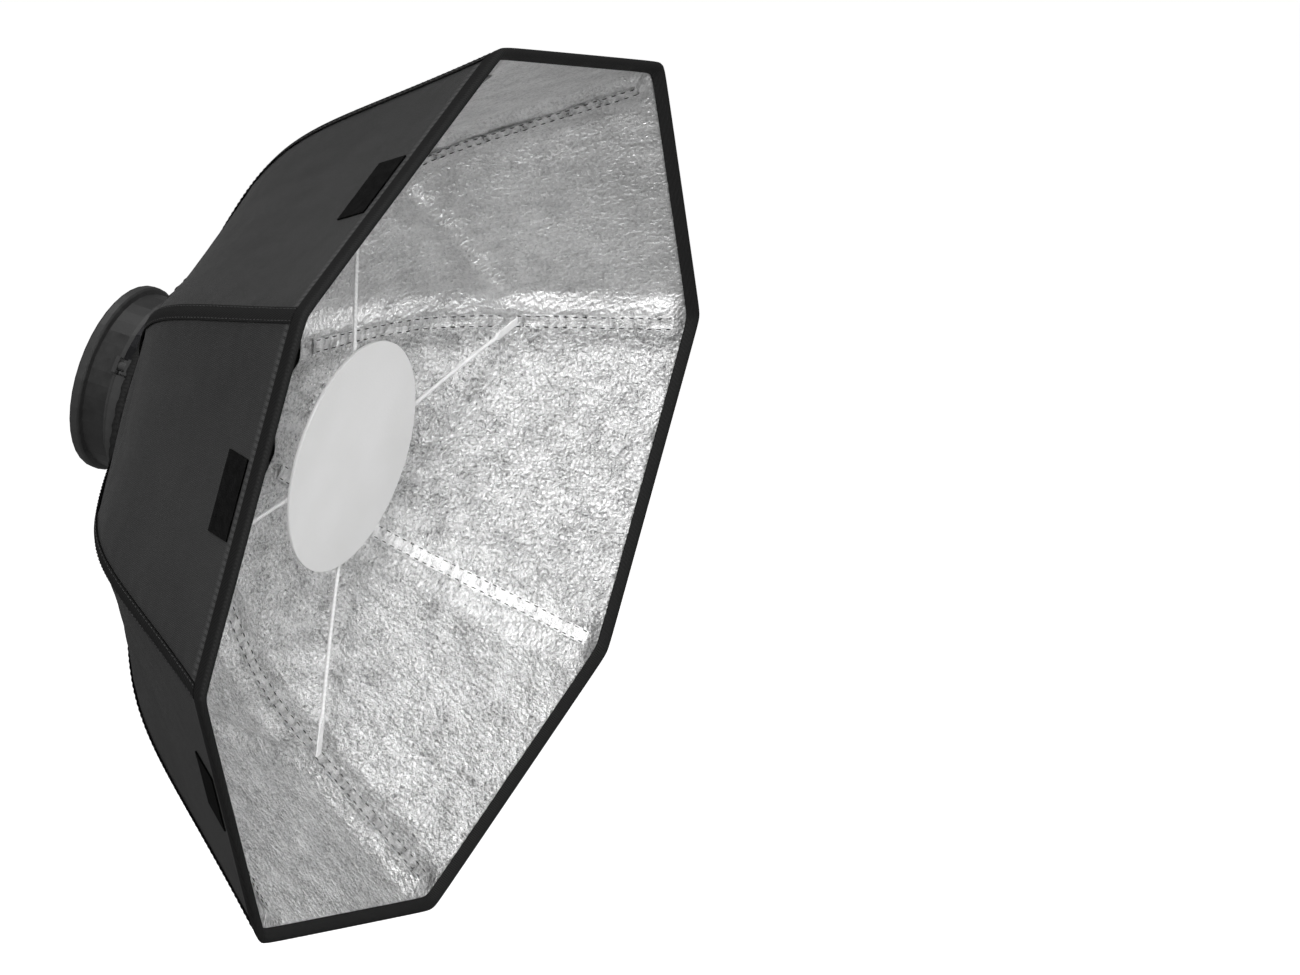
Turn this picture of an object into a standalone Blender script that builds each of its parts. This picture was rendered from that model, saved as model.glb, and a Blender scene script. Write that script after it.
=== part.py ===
"""A two-foot collapsible octabox on its speedring, modelled in metres with +Z up.

The box's axis lies along Y: the flash head's collar is at the origin, and the mouth faces -Y.
Distances called "forward" are measured from the collar's rear face towards the mouth, along -Y.
Eight fibreglass rods are hinged to the speedring's hub. Rib 1 is at 22.5 degrees from +X towards +Z,
and the others follow every 45 degrees. Each rib carries its silver liner gore and two halves of
black panel. When the ribs swing forward, each half panel pleats outwards: it turns about a line through
the point where its rib's pivot line crosses the line about which its outer edge swings.
"""

import math

import bmesh
import bpy
from mathutils import Matrix, Vector

# ---- driving dimensions -------------------------------------------------------------------------
RIBS = 8
RIB_STEP = 2 * math.pi / RIBS
HALF_STEP = RIB_STEP / 2
FIRST_RIB = HALF_STEP

GAP = 0.0003                    # between pieces that touch
STEP_OVER = 0.0002              # between faces of solids that are joined, so that none coincide
TURN_STEPS = 40                 # flats round a turned ring
SEAM_GAP = 0.00018              # from a panel's edge to the plane of its seam

# the collar that slides on the flash head
BORE_R = 0.0525
COLLAR_R = 0.0569
LIP_R = 0.0605
LIP_LENGTH = 0.007
LIP_ROUND = 0.0018
COLLAR_CHAMFER = 0.0012
SHOULDER_R = 0.0600
SHOULDER_FROM = 0.0255
SHOULDER_TO = 0.0397
BAND_GROOVE_R = 0.0583
BAND_FROM = 0.0288
BAND_TO = 0.0372
COLLAR_FRONT = 0.0660
RING_GROOVE_R = 0.0545          # the snap ring's groove, which keeps the hub on
RING_R = 0.0603
RING_FROM_FRONT = (0.0033, 0.0015)
RING_PLAY = 0.0002
SLEEVE_R = 0.0500
SLEEVE_FROM = 0.003
SLEEVE_TO = 0.052
SLEEVE_CHAMFER = 0.0008

# the hub that turns on the collar
HUB_BORE_R = 0.0572
HUB_NECK_R = 0.0625
HUB_REAR = 0.0400
HUB_RIM_R = 0.0830
HUB_RIM_REAR = 0.0535
HUB_SPLIT = 0.0594
COVER_THICKNESS = 0.0025
COVER_R = 0.0815
COVER_CHAMFER = 0.0008
HUB_CHAMFER = 0.0012
BLOCK_RAISE = 0.0026
BLOCK_CHAMFER = 0.0012
BLOCK_TAPER = 0.0008
BLOCK_WIDTH = 0.026
BLOCK_FROM_R = 0.0665
BLOCK_TO_R = 0.0842
NOTCH_WIDTH = 0.0086
NOTCH_FLOOR_R = 0.0716
NOTCH_TO_R = 0.095              # the notch's cutter reaches past the hub on every side
NOTCH_FROM_Y = -0.075
NOTCH_TO_Y = -0.040

# the rods' pivots, on one wire ring
PIVOT_R = 0.0760
PIVOT_FORWARD = 0.0580
WIRE_R = 0.0010
WIRE_SIDES = 6
WIRE_GROOVE = 0.0015
EYE_R = 0.0036
EYE_HOLE_R = 0.0014
EYE_WIDTH = 0.0074
ROD_R = 0.0025
ROD_SIDES = 8
ROD_SEGMENTS = 8
ROD_BEND = 0.0008               # how far the rod bows forward between its eye and the dish

# the dish: radius and depth behind the mouth of the black panel's outer seam, a Bezier's four points
MOUTH_R = 0.305
MOUTH_FORWARD = PIVOT_FORWARD + 0.1945
SEAM_CURVE = ((MOUTH_R, 0.0), (0.201, 0.136), (0.219, 0.148), (0.089, 0.197))
PANEL_THICKNESS = 0.0012
BINDING_DEPTH = 0.0034
BINDING_SHARE = 0.008               # how far along the seam curve the rim binding's fold reaches
PANEL_SAG = 0.004
ROUND_FROM_SHARE = 0.78         # from here the dish goes from eight flats to the round hem
PANEL_STEPS = 6
PANEL_COLUMNS = 2

ROD_INSET = 0.0054              # the rod's centre, inside the black panel's outer seam
ROD_FROM_SHARE = 0.94
ROD_TIP_DEPTH = 0.0175
TIP_R = 0.0034
TIP_LENGTH = 0.016
TIP_SIDES = 8
TIP_NOSE = 0.0037
TIP_SEAT = 0.004                # how much of the cap's length is left off its open end
LINER_INSET = 0.0016
POCKET_RAISE = 0.0081
POCKET_HALF = 0.007
POCKET_FADE = 0.030
POCKET_RAMP = (0.0045, 0.0125)  # depths between which the pocket rises behind the rim
LINER_THICKNESS = 0.0008
LINER_FROM_SHARE = 0.011
LINER_TO_SHARE = 0.925

# a half panel's outer edge swings about this radius, in the plane between two ribs
EDGE_PIVOT_R = 0.088

# the deflector plate and its four cords
PLATE_R = 0.0755
PLATE_THICKNESS = 0.0025
PLATE_EDGE = 0.0006
PLATE_FORWARD = MOUTH_FORWARD - 0.081
CORD_R = 0.0009
CORD_DEPTH = 0.097
CORD_STANDOFF = 0.0055
CORD_POINTS = 9
CORD_SAG = 0.0012

# the elastic hem that closes the box behind the hub
HEM_R = 0.0895
HEM_INNER_R = 0.0862
HEM_FROM = 0.0495
HEM_LENGTH = 0.0052
HEM_BULGE = 0.0012

# the clamp lever
LEVER_ANGLE = math.radians(165)
EAR_FROM = 0.0272
EAR_TO = 0.0388
EAR_THICKNESS = 0.0030
EAR_FOOT_R = 0.0603
BUCKLE_FLOOR_R = 0.0607
EAR_TOP_R = 0.0672
PIN_R = 0.0013
PIN_AT_R = 0.0641
PIN_HOLE_R = 0.0016
BARREL_R = 0.0030
BUCKLE_SPAN = math.radians(9)
LEVER_FROM = BUCKLE_SPAN / 2 + 0.02
LEVER_SPAN = math.radians(66)
LEVER_CHAMFER = 0.0008
LEVER_R = 0.0612
LEVER_THICKNESS = 0.0022
LEVER_STEPS = 10
LEVER_TAB = (0.0052, 0.06)      # the finger tab's height off the arm's inner face, and its angle
LEVER_NECK_OVERLAP = 0.03       # angle by which the neck runs into the arm
BAND_THICKNESS = 0.0018
PIN_PAST_EARS = 0.0006
PIN_SIDES = 16

COLOURS = {
    "shell_plastic": ((0.022, 0.022, 0.023), 0.45, 0.0),
    "grip_rubber": ((0.016, 0.016, 0.016), 0.85, 0.0),
    "band_steel": ((0.035, 0.035, 0.037), 0.35, 0.9),
    "bare_steel": ((0.55, 0.55, 0.56), 0.30, 1.0),
    "rod_fibreglass": ((0.05, 0.05, 0.05), 0.40, 0.0),
    "tip_plastic": ((0.03, 0.03, 0.03), 0.50, 0.0),
    "black_cloth": ((0.035, 0.035, 0.037), 0.85, 0.0),
    "silver_cloth": ((0.62, 0.62, 0.63), 0.38, 0.7),
    "plate_white": ((0.80, 0.80, 0.80), 0.60, 0.0),
    "cord_white": ((0.82, 0.82, 0.80), 0.70, 0.0),
    "hem_elastic": ((0.02, 0.02, 0.02), 0.90, 0.0),
}


# ---- small helpers ------------------------------------------------------------------------------
def clear_scene():
    for thing in list(bpy.data.objects):
        bpy.data.objects.remove(thing)


def smooth_step(value, low, high):
    t = min(1.0, max(0.0, (value - low) / (high - low)))
    return t * t * (3 - 2 * t)


def material(name, node):
    colour, roughness, metallic = COLOURS[name]
    made = bpy.data.materials.new(node + "_material")
    made.use_nodes = True
    shader = made.node_tree.nodes["Principled BSDF"]
    shader.inputs["Base Color"].default_value = (*colour, 1.0)
    shader.inputs["Roughness"].default_value = roughness
    shader.inputs["Metallic"].default_value = metallic
    made.diffuse_color = (*colour, 1.0)
    return made


def add_object(name, mesh, colour, parent=None, smooth=True):
    """One node: an object with its own material, placed in its parent's own frame."""
    thing = bpy.data.objects.new(name, mesh)
    bpy.context.scene.collection.objects.link(thing)
    if smooth:
        mesh.shade_smooth()
        mesh.set_sharp_from_angle(angle=math.radians(35))
    if not mesh.materials:
        mesh.materials.append(None)
    thing.material_slots[0].link = "OBJECT"
    thing.material_slots[0].material = material(colour, name)
    thing.parent = parent
    return thing


def finish_mesh(bm, name):
    bmesh.ops.remove_doubles(bm, verts=bm.verts, dist=1e-6)
    bmesh.ops.recalc_face_normals(bm, faces=bm.faces)
    mesh = bpy.data.meshes.new(name)
    bm.to_mesh(mesh)
    bm.free()
    return mesh


def loft(sections, name, closed=False):
    """A solid through closed sections that all have the same number of points."""
    bm = bmesh.new()
    rings = [[bm.verts.new(point) for point in section] for section in sections]
    count = len(rings[0])
    joins = list(zip(rings, rings[1:]))
    if closed:
        joins.append((rings[-1], rings[0]))
    for ring, after in joins:
        for i in range(count):
            j = (i + 1) % count
            bm.faces.new((ring[i], ring[j], after[j], after[i]))
    if not closed:
        bm.faces.new(list(reversed(rings[0])))
        bm.faces.new(rings[-1])
        bmesh.ops.triangulate(bm, faces=[f for f in bm.faces if len(f.verts) > 4])
    return finish_mesh(bm, name)


def around(radius, forward, angle):
    """A point of the row frame, from its distance to the axis, its distance forward and its angle."""
    return Vector((radius * math.cos(angle), -forward, radius * math.sin(angle)))


def turned(outline, name, start=0.0, span=2 * math.pi, steps=TURN_STEPS):
    """A ring or part of a ring: an outline of (radius, forward) points turned about the axis."""
    whole = span > 2 * math.pi - 1e-6
    count = steps if whole else steps + 1
    angles = [start + span * i / steps for i in range(count)]
    sections = [[around(r, f, angle) for r, f in outline] for angle in angles]
    return loft(sections, name, closed=whole)


def ring_outline(inner, outer, low, high):
    return ((inner, low), (outer, low), (outer, high), (inner, high))


def rod_between(start, end, radius, sides, name):
    """A plain round bar between two points."""
    along = (end - start).normalized()
    side = along.orthogonal().normalized()
    up = along.cross(side)
    sections = []
    for centre in (start, end):
        turn = [2 * math.pi * i / sides for i in range(sides)]
        sections.append([centre + side * radius * math.cos(a) + up * radius * math.sin(a) for a in turn])
    return loft(sections, name)


def tool(name, mesh, matrix=None):
    """A cutter or a piece to join, which isn't a node of its own."""
    thing = bpy.data.objects.new(name, mesh)
    bpy.context.scene.collection.objects.link(thing)
    thing.hide_render = True
    thing.display_type = "WIRE"
    if matrix is not None:
        thing.matrix_world = matrix
    return thing


def boolean(base, other, operation):
    """The mesh of base after an exact Boolean with other, both in the row frame."""
    first = tool("boolean_base", base)
    second = tool("boolean_other", other)
    change = first.modifiers.new("change", "BOOLEAN")
    change.operation = operation
    change.object = second
    bpy.context.view_layer.update()
    graph = bpy.context.evaluated_depsgraph_get()
    result = bpy.data.meshes.new_from_object(first.evaluated_get(graph))
    bpy.data.objects.remove(first)
    bpy.data.objects.remove(second)
    result.materials.clear()
    return result


def joined(meshes, name):
    """One mesh that holds several separate solids, for use as a Boolean's second operand."""
    bm = bmesh.new()
    for mesh in meshes:
        bm.from_mesh(mesh)
    result = bpy.data.meshes.new(name)
    bm.to_mesh(result)
    bm.free()
    return result


def rib_angle(index):
    return FIRST_RIB + RIB_STEP * index


def at_ribs(mesh, name):
    """Copies of a mesh made at angle 0, one at each rib."""
    copies = []
    for index in range(RIBS):
        copy = mesh.copy()
        copy.transform(Matrix.Rotation(-rib_angle(index), 4, "Y"))
        copies.append(copy)
    return joined(copies, name)


def box_mesh(low, high, name):
    """A box between two corners of the row frame."""
    (x0, y0, z0), (x1, y1, z1) = low, high
    bottom = [(x0, y0, z0), (x1, y0, z0), (x1, y1, z0), (x0, y1, z0)]
    top = [(x, y, z1) for x, y, _ in bottom]
    return loft([[Vector(p) for p in bottom], [Vector(p) for p in top]], name)


# ---- the collar and what stays still with the flash head ---------------------------------------
def make_collar():
    groove_low, groove_high = (COLLAR_FRONT - distance for distance in RING_FROM_FRONT)
    outline = (
        (BORE_R, 0.0), (LIP_R - LIP_ROUND, 0.0), (LIP_R - LIP_ROUND / 4, LIP_ROUND / 3), (LIP_R, LIP_ROUND),
        (LIP_R, LIP_LENGTH - COLLAR_CHAMFER), (LIP_R - COLLAR_CHAMFER, LIP_LENGTH),
        (COLLAR_R, LIP_LENGTH + COLLAR_CHAMFER), (COLLAR_R, SHOULDER_FROM - COLLAR_CHAMFER),
        (SHOULDER_R, SHOULDER_FROM), (SHOULDER_R, BAND_FROM - GAP),
        (BAND_GROOVE_R, BAND_FROM - GAP), (BAND_GROOVE_R, BAND_TO + GAP), (SHOULDER_R, BAND_TO + GAP),
        (SHOULDER_R, SHOULDER_TO), (COLLAR_R, SHOULDER_TO), (COLLAR_R, groove_low),
        (RING_GROOVE_R, groove_low), (RING_GROOVE_R, groove_high), (COLLAR_R, groove_high),
        (COLLAR_R, COLLAR_FRONT), (BORE_R, COLLAR_FRONT), (BORE_R, SLEEVE_TO + GAP),
        (BORE_R, SLEEVE_FROM - GAP),
    )
    add_object("adapter_collar", turned(outline, "adapter_collar"), "shell_plastic")
    ring = ring_outline(RING_GROOVE_R + GAP, RING_R, groove_low + RING_PLAY, groove_high - RING_PLAY)
    add_object("retaining_ring", turned(ring, "retaining_ring"), "bare_steel")


def make_sleeve():
    outline = (
        (SLEEVE_R + SLEEVE_CHAMFER, SLEEVE_FROM), (BORE_R - GAP, SLEEVE_FROM), (BORE_R - GAP, SLEEVE_TO),
        (SLEEVE_R + SLEEVE_CHAMFER, SLEEVE_TO), (SLEEVE_R, SLEEVE_TO - SLEEVE_CHAMFER),
        (SLEEVE_R, SLEEVE_FROM + SLEEVE_CHAMFER),
    )
    add_object("grip_sleeve", turned(outline, "grip_sleeve"), "grip_rubber")


def pin_bar(low, high, radius, name):
    """A round bar on the line of the lever's pin."""
    return rod_between(around(PIN_AT_R, low, LEVER_ANGLE), around(PIN_AT_R, high, LEVER_ANGLE),
                       radius, PIN_SIDES, name)


def make_clamp():
    half = BUCKLE_SPAN / 2
    band_gap = GAP / BAND_GROOVE_R
    inner = BAND_GROOVE_R + GAP
    band = ring_outline(inner, inner + BAND_THICKNESS, BAND_FROM, BAND_TO)
    start = LEVER_ANGLE + half + band_gap
    span = 2 * math.pi - BUCKLE_SPAN - 2 * band_gap
    add_object("clamp_band", turned(band, "clamp_band", start, span), "band_steel")

    # the buckle fills the band's gap, and stands up in two ears that hold the lever's pin
    outline = (
        (inner, BAND_FROM), (EAR_FOOT_R, BAND_FROM), (EAR_FOOT_R, EAR_FROM),
        (EAR_TOP_R, EAR_FROM), (EAR_TOP_R, EAR_FROM + EAR_THICKNESS),
        (BUCKLE_FLOOR_R, EAR_FROM + EAR_THICKNESS),
        (BUCKLE_FLOOR_R, EAR_TO - EAR_THICKNESS), (EAR_TOP_R, EAR_TO - EAR_THICKNESS), (EAR_TOP_R, EAR_TO),
        (EAR_FOOT_R, EAR_TO), (EAR_FOOT_R, BAND_TO), (inner, BAND_TO),
    )
    buckle = turned(outline, "buckle", LEVER_ANGLE - half, BUCKLE_SPAN, 4)
    hole = pin_bar(EAR_FROM - 2 * PIN_PAST_EARS, EAR_TO + 2 * PIN_PAST_EARS, PIN_HOLE_R, "hole")
    add_object("band_buckle", boolean(buckle, hole, "DIFFERENCE"), "shell_plastic")
    pin = pin_bar(EAR_FROM - PIN_PAST_EARS, EAR_TO + PIN_PAST_EARS, PIN_R, "lever_pin")
    add_object("lever_pin", pin, "bare_steel")


def make_lever():
    """The over-centre lever lies round the band, and swings out about the buckle's pin."""
    inner_low = EAR_FROM + EAR_THICKNESS + GAP
    inner_high = EAR_TO - EAR_THICKNESS - GAP
    centre = around(PIN_AT_R, 0, LEVER_ANGLE)
    outer = LEVER_R + LEVER_THICKNESS
    barrel = pin_bar(inner_low, inner_high, BARREL_R, "barrel")
    neck_outline = ring_outline(LEVER_R + STEP_OVER, outer - STEP_OVER, inner_low + STEP_OVER,
                                inner_high - STEP_OVER)
    neck = turned(neck_outline, "neck", LEVER_ANGLE, LEVER_FROM + LEVER_NECK_OVERLAP, 4)
    arm_outline = (
        (LEVER_R, BAND_FROM), (outer - LEVER_CHAMFER, BAND_FROM - LEVER_CHAMFER / 2),
        (outer, BAND_FROM + LEVER_CHAMFER), (outer, BAND_TO - LEVER_CHAMFER),
        (outer - LEVER_CHAMFER, BAND_TO + LEVER_CHAMFER / 2), (LEVER_R, BAND_TO),
    )
    arm = turned(arm_outline, "arm", LEVER_ANGLE + LEVER_FROM, LEVER_SPAN, LEVER_STEPS)
    tab_height, tab_span = LEVER_TAB
    tab_outline = ring_outline(LEVER_R + 2 * STEP_OVER, LEVER_R + tab_height, BAND_FROM, BAND_TO)
    tab = turned(tab_outline, "tab", LEVER_ANGLE + LEVER_FROM + LEVER_SPAN - tab_span / 2, tab_span, 2)
    lever = boolean(boolean(boolean(barrel, neck, "UNION"), arm, "UNION"), tab, "UNION")
    lever = boolean(lever, pin_bar(EAR_FROM, EAR_TO, PIN_HOLE_R, "hole"), "DIFFERENCE")
    lever.transform(Matrix.Translation(-centre))
    add_object("clamp_lever", lever, "shell_plastic").location = centre


# ---- the hub ------------------------------------------------------------------------------------
def notch_cutters():
    half = NOTCH_WIDTH / 2
    slot = box_mesh((NOTCH_FLOOR_R, NOTCH_FROM_Y, -half), (NOTCH_TO_R, NOTCH_TO_Y, half), "slot")
    return at_ribs(slot, "notches")


def block():
    """One raised block over a rod's notch, following the slope of the hub's back."""
    half = BLOCK_WIDTH / 2
    slope = (HUB_RIM_REAR - HUB_REAR) / (HUB_RIM_R - HUB_NECK_R)
    section = [(r, HUB_REAR + (r - HUB_NECK_R) * slope) for r in (BLOCK_FROM_R, BLOCK_TO_R)]
    (r0, f0), (r1, f1) = section
    inside = half - BLOCK_CHAMFER
    edge = BLOCK_CHAMFER / 2
    sections = []
    for z, taper in ((-half, BLOCK_TAPER), (-inside, 0.0), (inside, 0.0), (half, BLOCK_TAPER)):
        raised = BLOCK_RAISE - taper
        sections.append([
            Vector((r0, -(f0 + BLOCK_CHAMFER), z)), Vector((r0 + BLOCK_CHAMFER, -(f0 - raised + edge), z)),
            Vector((r1 - BLOCK_CHAMFER, -(f1 - raised - edge), z)), Vector((r1, -(f1 + edge), z)),
            Vector((r1, -HUB_SPLIT, z)), Vector((r0, -HUB_SPLIT, z)),
        ])
    return loft(sections, "block")


def make_hub():
    outline = (
        (HUB_BORE_R, HUB_REAR), (HUB_NECK_R - HUB_CHAMFER, HUB_REAR), (HUB_NECK_R, HUB_REAR + HUB_CHAMFER),
        (HUB_RIM_R - HUB_CHAMFER, HUB_RIM_REAR - HUB_CHAMFER / 3), (HUB_RIM_R, HUB_RIM_REAR + HUB_CHAMFER),
        (HUB_RIM_R, HUB_SPLIT), (HUB_BORE_R, HUB_SPLIT),
    )
    flange = boolean(turned(outline, "flange"), at_ribs(block(), "blocks"), "UNION")
    groove = turned(ring_outline(PIVOT_R - WIRE_GROOVE, PIVOT_R + WIRE_GROOVE,
                                 PIVOT_FORWARD - WIRE_GROOVE, HUB_SPLIT + WIRE_GROOVE), "groove")
    flange = boolean(flange, groove, "DIFFERENCE")
    add_object("hub_flange", boolean(flange, notch_cutters(), "DIFFERENCE"), "shell_plastic")

    low = HUB_SPLIT + GAP
    high = low + COVER_THICKNESS
    cover = turned(((HUB_BORE_R, low), (COVER_R, low), (COVER_R, high - COVER_CHAMFER),
                    (COVER_R - COVER_CHAMFER, high), (HUB_BORE_R, high)), "cover")
    add_object("hub_cover", boolean(cover, notch_cutters(), "DIFFERENCE"), "shell_plastic")

    turn = [2 * math.pi * i / WIRE_SIDES for i in range(WIRE_SIDES)]
    wire = [(PIVOT_R + WIRE_R * math.cos(a), PIVOT_FORWARD + WIRE_R * math.sin(a)) for a in turn]
    add_object("pivot_wire", turned(wire, "pivot_wire"), "bare_steel")


def make_hem():
    """The elastic hem of the panels, gathered behind the hub's rim."""
    outer = HEM_R + HEM_BULGE
    front = HEM_FROM + HEM_LENGTH
    outline = (
        (HEM_INNER_R, HEM_FROM + HEM_BULGE / 2), (HEM_INNER_R + HEM_BULGE, HEM_FROM),
        (outer, HEM_FROM + 2 * HEM_BULGE), (outer, front - HEM_BULGE / 2), (HEM_R, front),
        (HEM_INNER_R + HEM_BULGE, front), (HEM_INNER_R, front - HEM_BULGE / 2),
    )
    add_object("rear_hem", turned(outline, "rear_hem"), "hem_elastic")


def make_plate():
    low = PLATE_FORWARD - PLATE_THICKNESS / 2
    high = PLATE_FORWARD + PLATE_THICKNESS / 2
    bm = bmesh.new()
    flat_r = PLATE_R - PLATE_EDGE
    rows = ((flat_r, low), (PLATE_R, low + PLATE_EDGE), (PLATE_R, high - PLATE_EDGE), (flat_r, high))
    rings = []
    for radius, forward in rows:
        angles = [2 * math.pi * i / TURN_STEPS for i in range(TURN_STEPS)]
        rings.append([bm.verts.new(around(radius, forward, angle)) for angle in angles])
    for ring, after in zip(rings, rings[1:]):
        for i in range(TURN_STEPS):
            j = (i + 1) % TURN_STEPS
            bm.faces.new((ring[i], ring[j], after[j], after[i]))
    for ring, forward in ((rings[0], low), (rings[-1], high)):
        middle = bm.verts.new(around(0, forward, 0))
        for i in range(TURN_STEPS):
            bm.faces.new((ring[i], ring[(i + 1) % TURN_STEPS], middle))
    add_object("deflector_plate", finish_mesh(bm, "deflector_plate"), "plate_white")


# ---- the dish's seam curve ----------------------------------------------------------------------
def seam(share, inset=0.0):
    """(radius, forward) on the seam in a rib's plane; share runs from the mouth, 0, to the hem, 1."""
    a, b, c, d = SEAM_CURVE
    t = share
    weights = ((1 - t) ** 3, 3 * (1 - t) ** 2 * t, 3 * (1 - t) * t * t, t ** 3)
    radius = sum(w * p[0] for w, p in zip(weights, (a, b, c, d)))
    depth = sum(w * p[1] for w, p in zip(weights, (a, b, c, d)))
    slopes = (3 * (1 - t) ** 2, 6 * (1 - t) * t, 3 * t * t)
    run = sum(w * (q[0] - p[0]) for w, p, q in zip(slopes, (a, b, c), (b, c, d)))
    rise = -sum(w * (q[1] - p[1]) for w, p, q in zip(slopes, (a, b, c), (b, c, d)))
    length = math.hypot(run, rise)
    return radius + inset * rise / length, MOUTH_FORWARD - depth - inset * run / length


def share_at_depth(depth):
    """Where along the seam curve it reaches this depth behind the mouth."""
    low, high = 0.0, 1.0
    for _ in range(40):
        middle = (low + high) / 2
        if MOUTH_FORWARD - seam(middle)[1] < depth:
            low = middle
        else:
            high = middle
    return (low + high) / 2


def half_width(radius):
    return radius * math.sin(HALF_STEP)


def panel_point(share, across, side, inset):
    """A point on or under a panel, in rib 0's frame: across is 0 on the rib and 1 at mid-panel."""
    sag = PANEL_SAG * (1 - (1 - across) ** 2) * math.sin(math.pi * share)
    radius, forward = seam(share, inset + sag)
    reach = SEAM_GAP / half_width(radius)
    reach += across * (1 - 2 * reach)
    flat = Vector((radius * (1 - reach * math.sin(HALF_STEP) ** 2), -forward,
                   side * reach * radius * math.cos(HALF_STEP) * math.sin(HALF_STEP)))
    angle = reach * HALF_STEP
    arc = Vector((radius * math.cos(angle), -forward, side * radius * math.sin(angle)))
    return flat.lerp(arc, smooth_step(share, ROUND_FROM_SHARE, 1.0))


def shares(low, high, steps):
    return [low + (high - low) * i / steps for i in range(steps + 1)]


def stations():
    """The shares at which both cloths have a row of points, so that they stay parallel."""
    ramp = [share_at_depth(depth) for depth in POCKET_RAMP]
    body = shares(share_at_depth(2 * POCKET_RAMP[1]), LINER_TO_SHARE, PANEL_STEPS)
    return [LINER_FROM_SHARE] + ramp + body + [(1 + LINER_TO_SHARE) / 2, 1.0]


def panel_mesh(side):
    """Half of a black panel, from its rib to mid-panel, with the rim binding's fold at the mouth."""
    run = stations()
    outer = [(s, 0.0) for s in [0.0] + run]
    inner = [(s, PANEL_THICKNESS) for s in reversed([BINDING_SHARE] + run)]
    fold = [(BINDING_SHARE, BINDING_DEPTH), (0.0, BINDING_DEPTH)]
    outline = outer + inner + fold
    columns = [i / PANEL_COLUMNS for i in range(PANEL_COLUMNS + 1)]
    sections = [[panel_point(s, u, side, inset) for s, inset in outline] for u in columns]
    return loft(sections, "panel")


def liner_inset(share, distance):
    """The liner lies on the panel, and stands off it over the pocket that holds the rod."""
    over_rod = 1 - smooth_step(distance, POCKET_HALF, POCKET_FADE)
    from_mouth = smooth_step(MOUTH_FORWARD - seam(share)[1], *POCKET_RAMP)
    return LINER_INSET + POCKET_RAISE * over_rod * from_mouth


def liner_mesh():
    """A silver gore from mid-panel to mid-panel, centred on its rib."""
    columns = (-1.0, -0.35, -0.08, 0.08, 0.35, 1.0)
    run = [s for s in stations() if s <= LINER_TO_SHARE]
    sections = []
    for u in columns:
        side = -1 if u < 0 else 1
        section = []
        for thickness, order in ((0.0, run), (LINER_THICKNESS, list(reversed(run)))):
            for s in order:
                distance = abs(u) * half_width(seam(s)[0])
                inset = liner_inset(s, distance) + thickness
                section.append(panel_point(s, abs(u), side, inset))
        sections.append(section)
    return loft(sections, "liner")


# ---- the rods -----------------------------------------------------------------------------------
def rod_path():
    """The rod's centre line in rib 0's plane, from its eye to its tip."""
    start = share_at_depth(ROD_TIP_DEPTH)
    along = [seam(share, ROD_INSET) for share in shares(ROD_FROM_SHARE, start, ROD_SEGMENTS)]
    points = [Vector((radius, -forward, 0)) for radius, forward in along]
    pivot = Vector((PIVOT_R, -PIVOT_FORWARD, 0))
    first = pivot + (points[0] - pivot).normalized() * ROD_R
    return [first, pivot.lerp(points[0], 0.5) + Vector((0, -ROD_BEND, 0))] + points


def rod_mesh():
    path = rod_path()
    across = Vector((0, 0, 1))
    sections = []
    for i, centre in enumerate(path):
        along = (path[min(i + 1, len(path) - 1)] - path[max(i - 1, 0)]).normalized()
        up = along.cross(across)
        turn = [2 * math.pi * k / ROD_SIDES for k in range(ROD_SIDES)]
        sections.append([centre + across * ROD_R * math.cos(a) + up * ROD_R * math.sin(a) for a in turn])
    rod = loft(sections, "rod")
    middle = Vector((PIVOT_R, -PIVOT_FORWARD, 0))
    half = Vector((0, 0, EYE_WIDTH / 2))
    eye = rod_between(middle - half, middle + half, EYE_R, 12, "eye")
    hole = rod_between(middle - half * 1.5, middle + half * 1.5, EYE_HOLE_R, 8, "hole")
    return boolean(boolean(rod, eye, "UNION"), hole, "DIFFERENCE")


def tip_mesh():
    """A cap over the rod's end, domed towards the rim."""
    path = rod_path()
    end = path[-1]
    along = (path[-1] - path[-2]).normalized()
    side = Vector((0, 0, 1))
    up = along.cross(side)
    bore = ROD_R + GAP
    rear = TIP_SEAT - TIP_LENGTH
    outline = (
        (bore, rear), (TIP_R - GAP, rear), (TIP_R, rear + 3 * GAP),
        (TIP_R, TIP_NOSE / 3), (TIP_R * 0.86, TIP_NOSE * 2 / 3), (TIP_R / 2, TIP_NOSE * 0.9),
    )
    turn = [2 * math.pi * k / TIP_SIDES for k in range(TIP_SIDES)]
    bm = bmesh.new()
    rings = []
    for radius, distance in outline + ((bore, 2 * GAP),):
        centre = end + along * distance
        ring = [centre + side * radius * math.cos(a) + up * radius * math.sin(a) for a in turn]
        rings.append([bm.verts.new(point) for point in ring])
    outside = rings[:len(outline)]
    for ring, after in list(zip(outside, outside[1:])) + [(rings[-1], rings[0])]:
        for i in range(TIP_SIDES):
            j = (i + 1) % TIP_SIDES
            bm.faces.new((ring[i], ring[j], after[j], after[i]))
    nose = bm.verts.new(end + along * TIP_NOSE)
    floor = bm.verts.new(end + along * 2 * GAP)
    for i in range(TIP_SIDES):
        j = (i + 1) % TIP_SIDES
        bm.faces.new((outside[-1][i], outside[-1][j], nose))
        bm.faces.new((rings[-1][j], rings[-1][i], floor))
    return finish_mesh(bm, "tip")


def pleat_point(side):
    """Where rib 0's pivot line crosses the pivot line of the edge between it and the next rib."""
    sideways = (EDGE_PIVOT_R - PIVOT_R * math.cos(HALF_STEP)) / math.sin(HALF_STEP)
    return Vector((PIVOT_R, -PIVOT_FORWARD, side * sideways))


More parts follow.
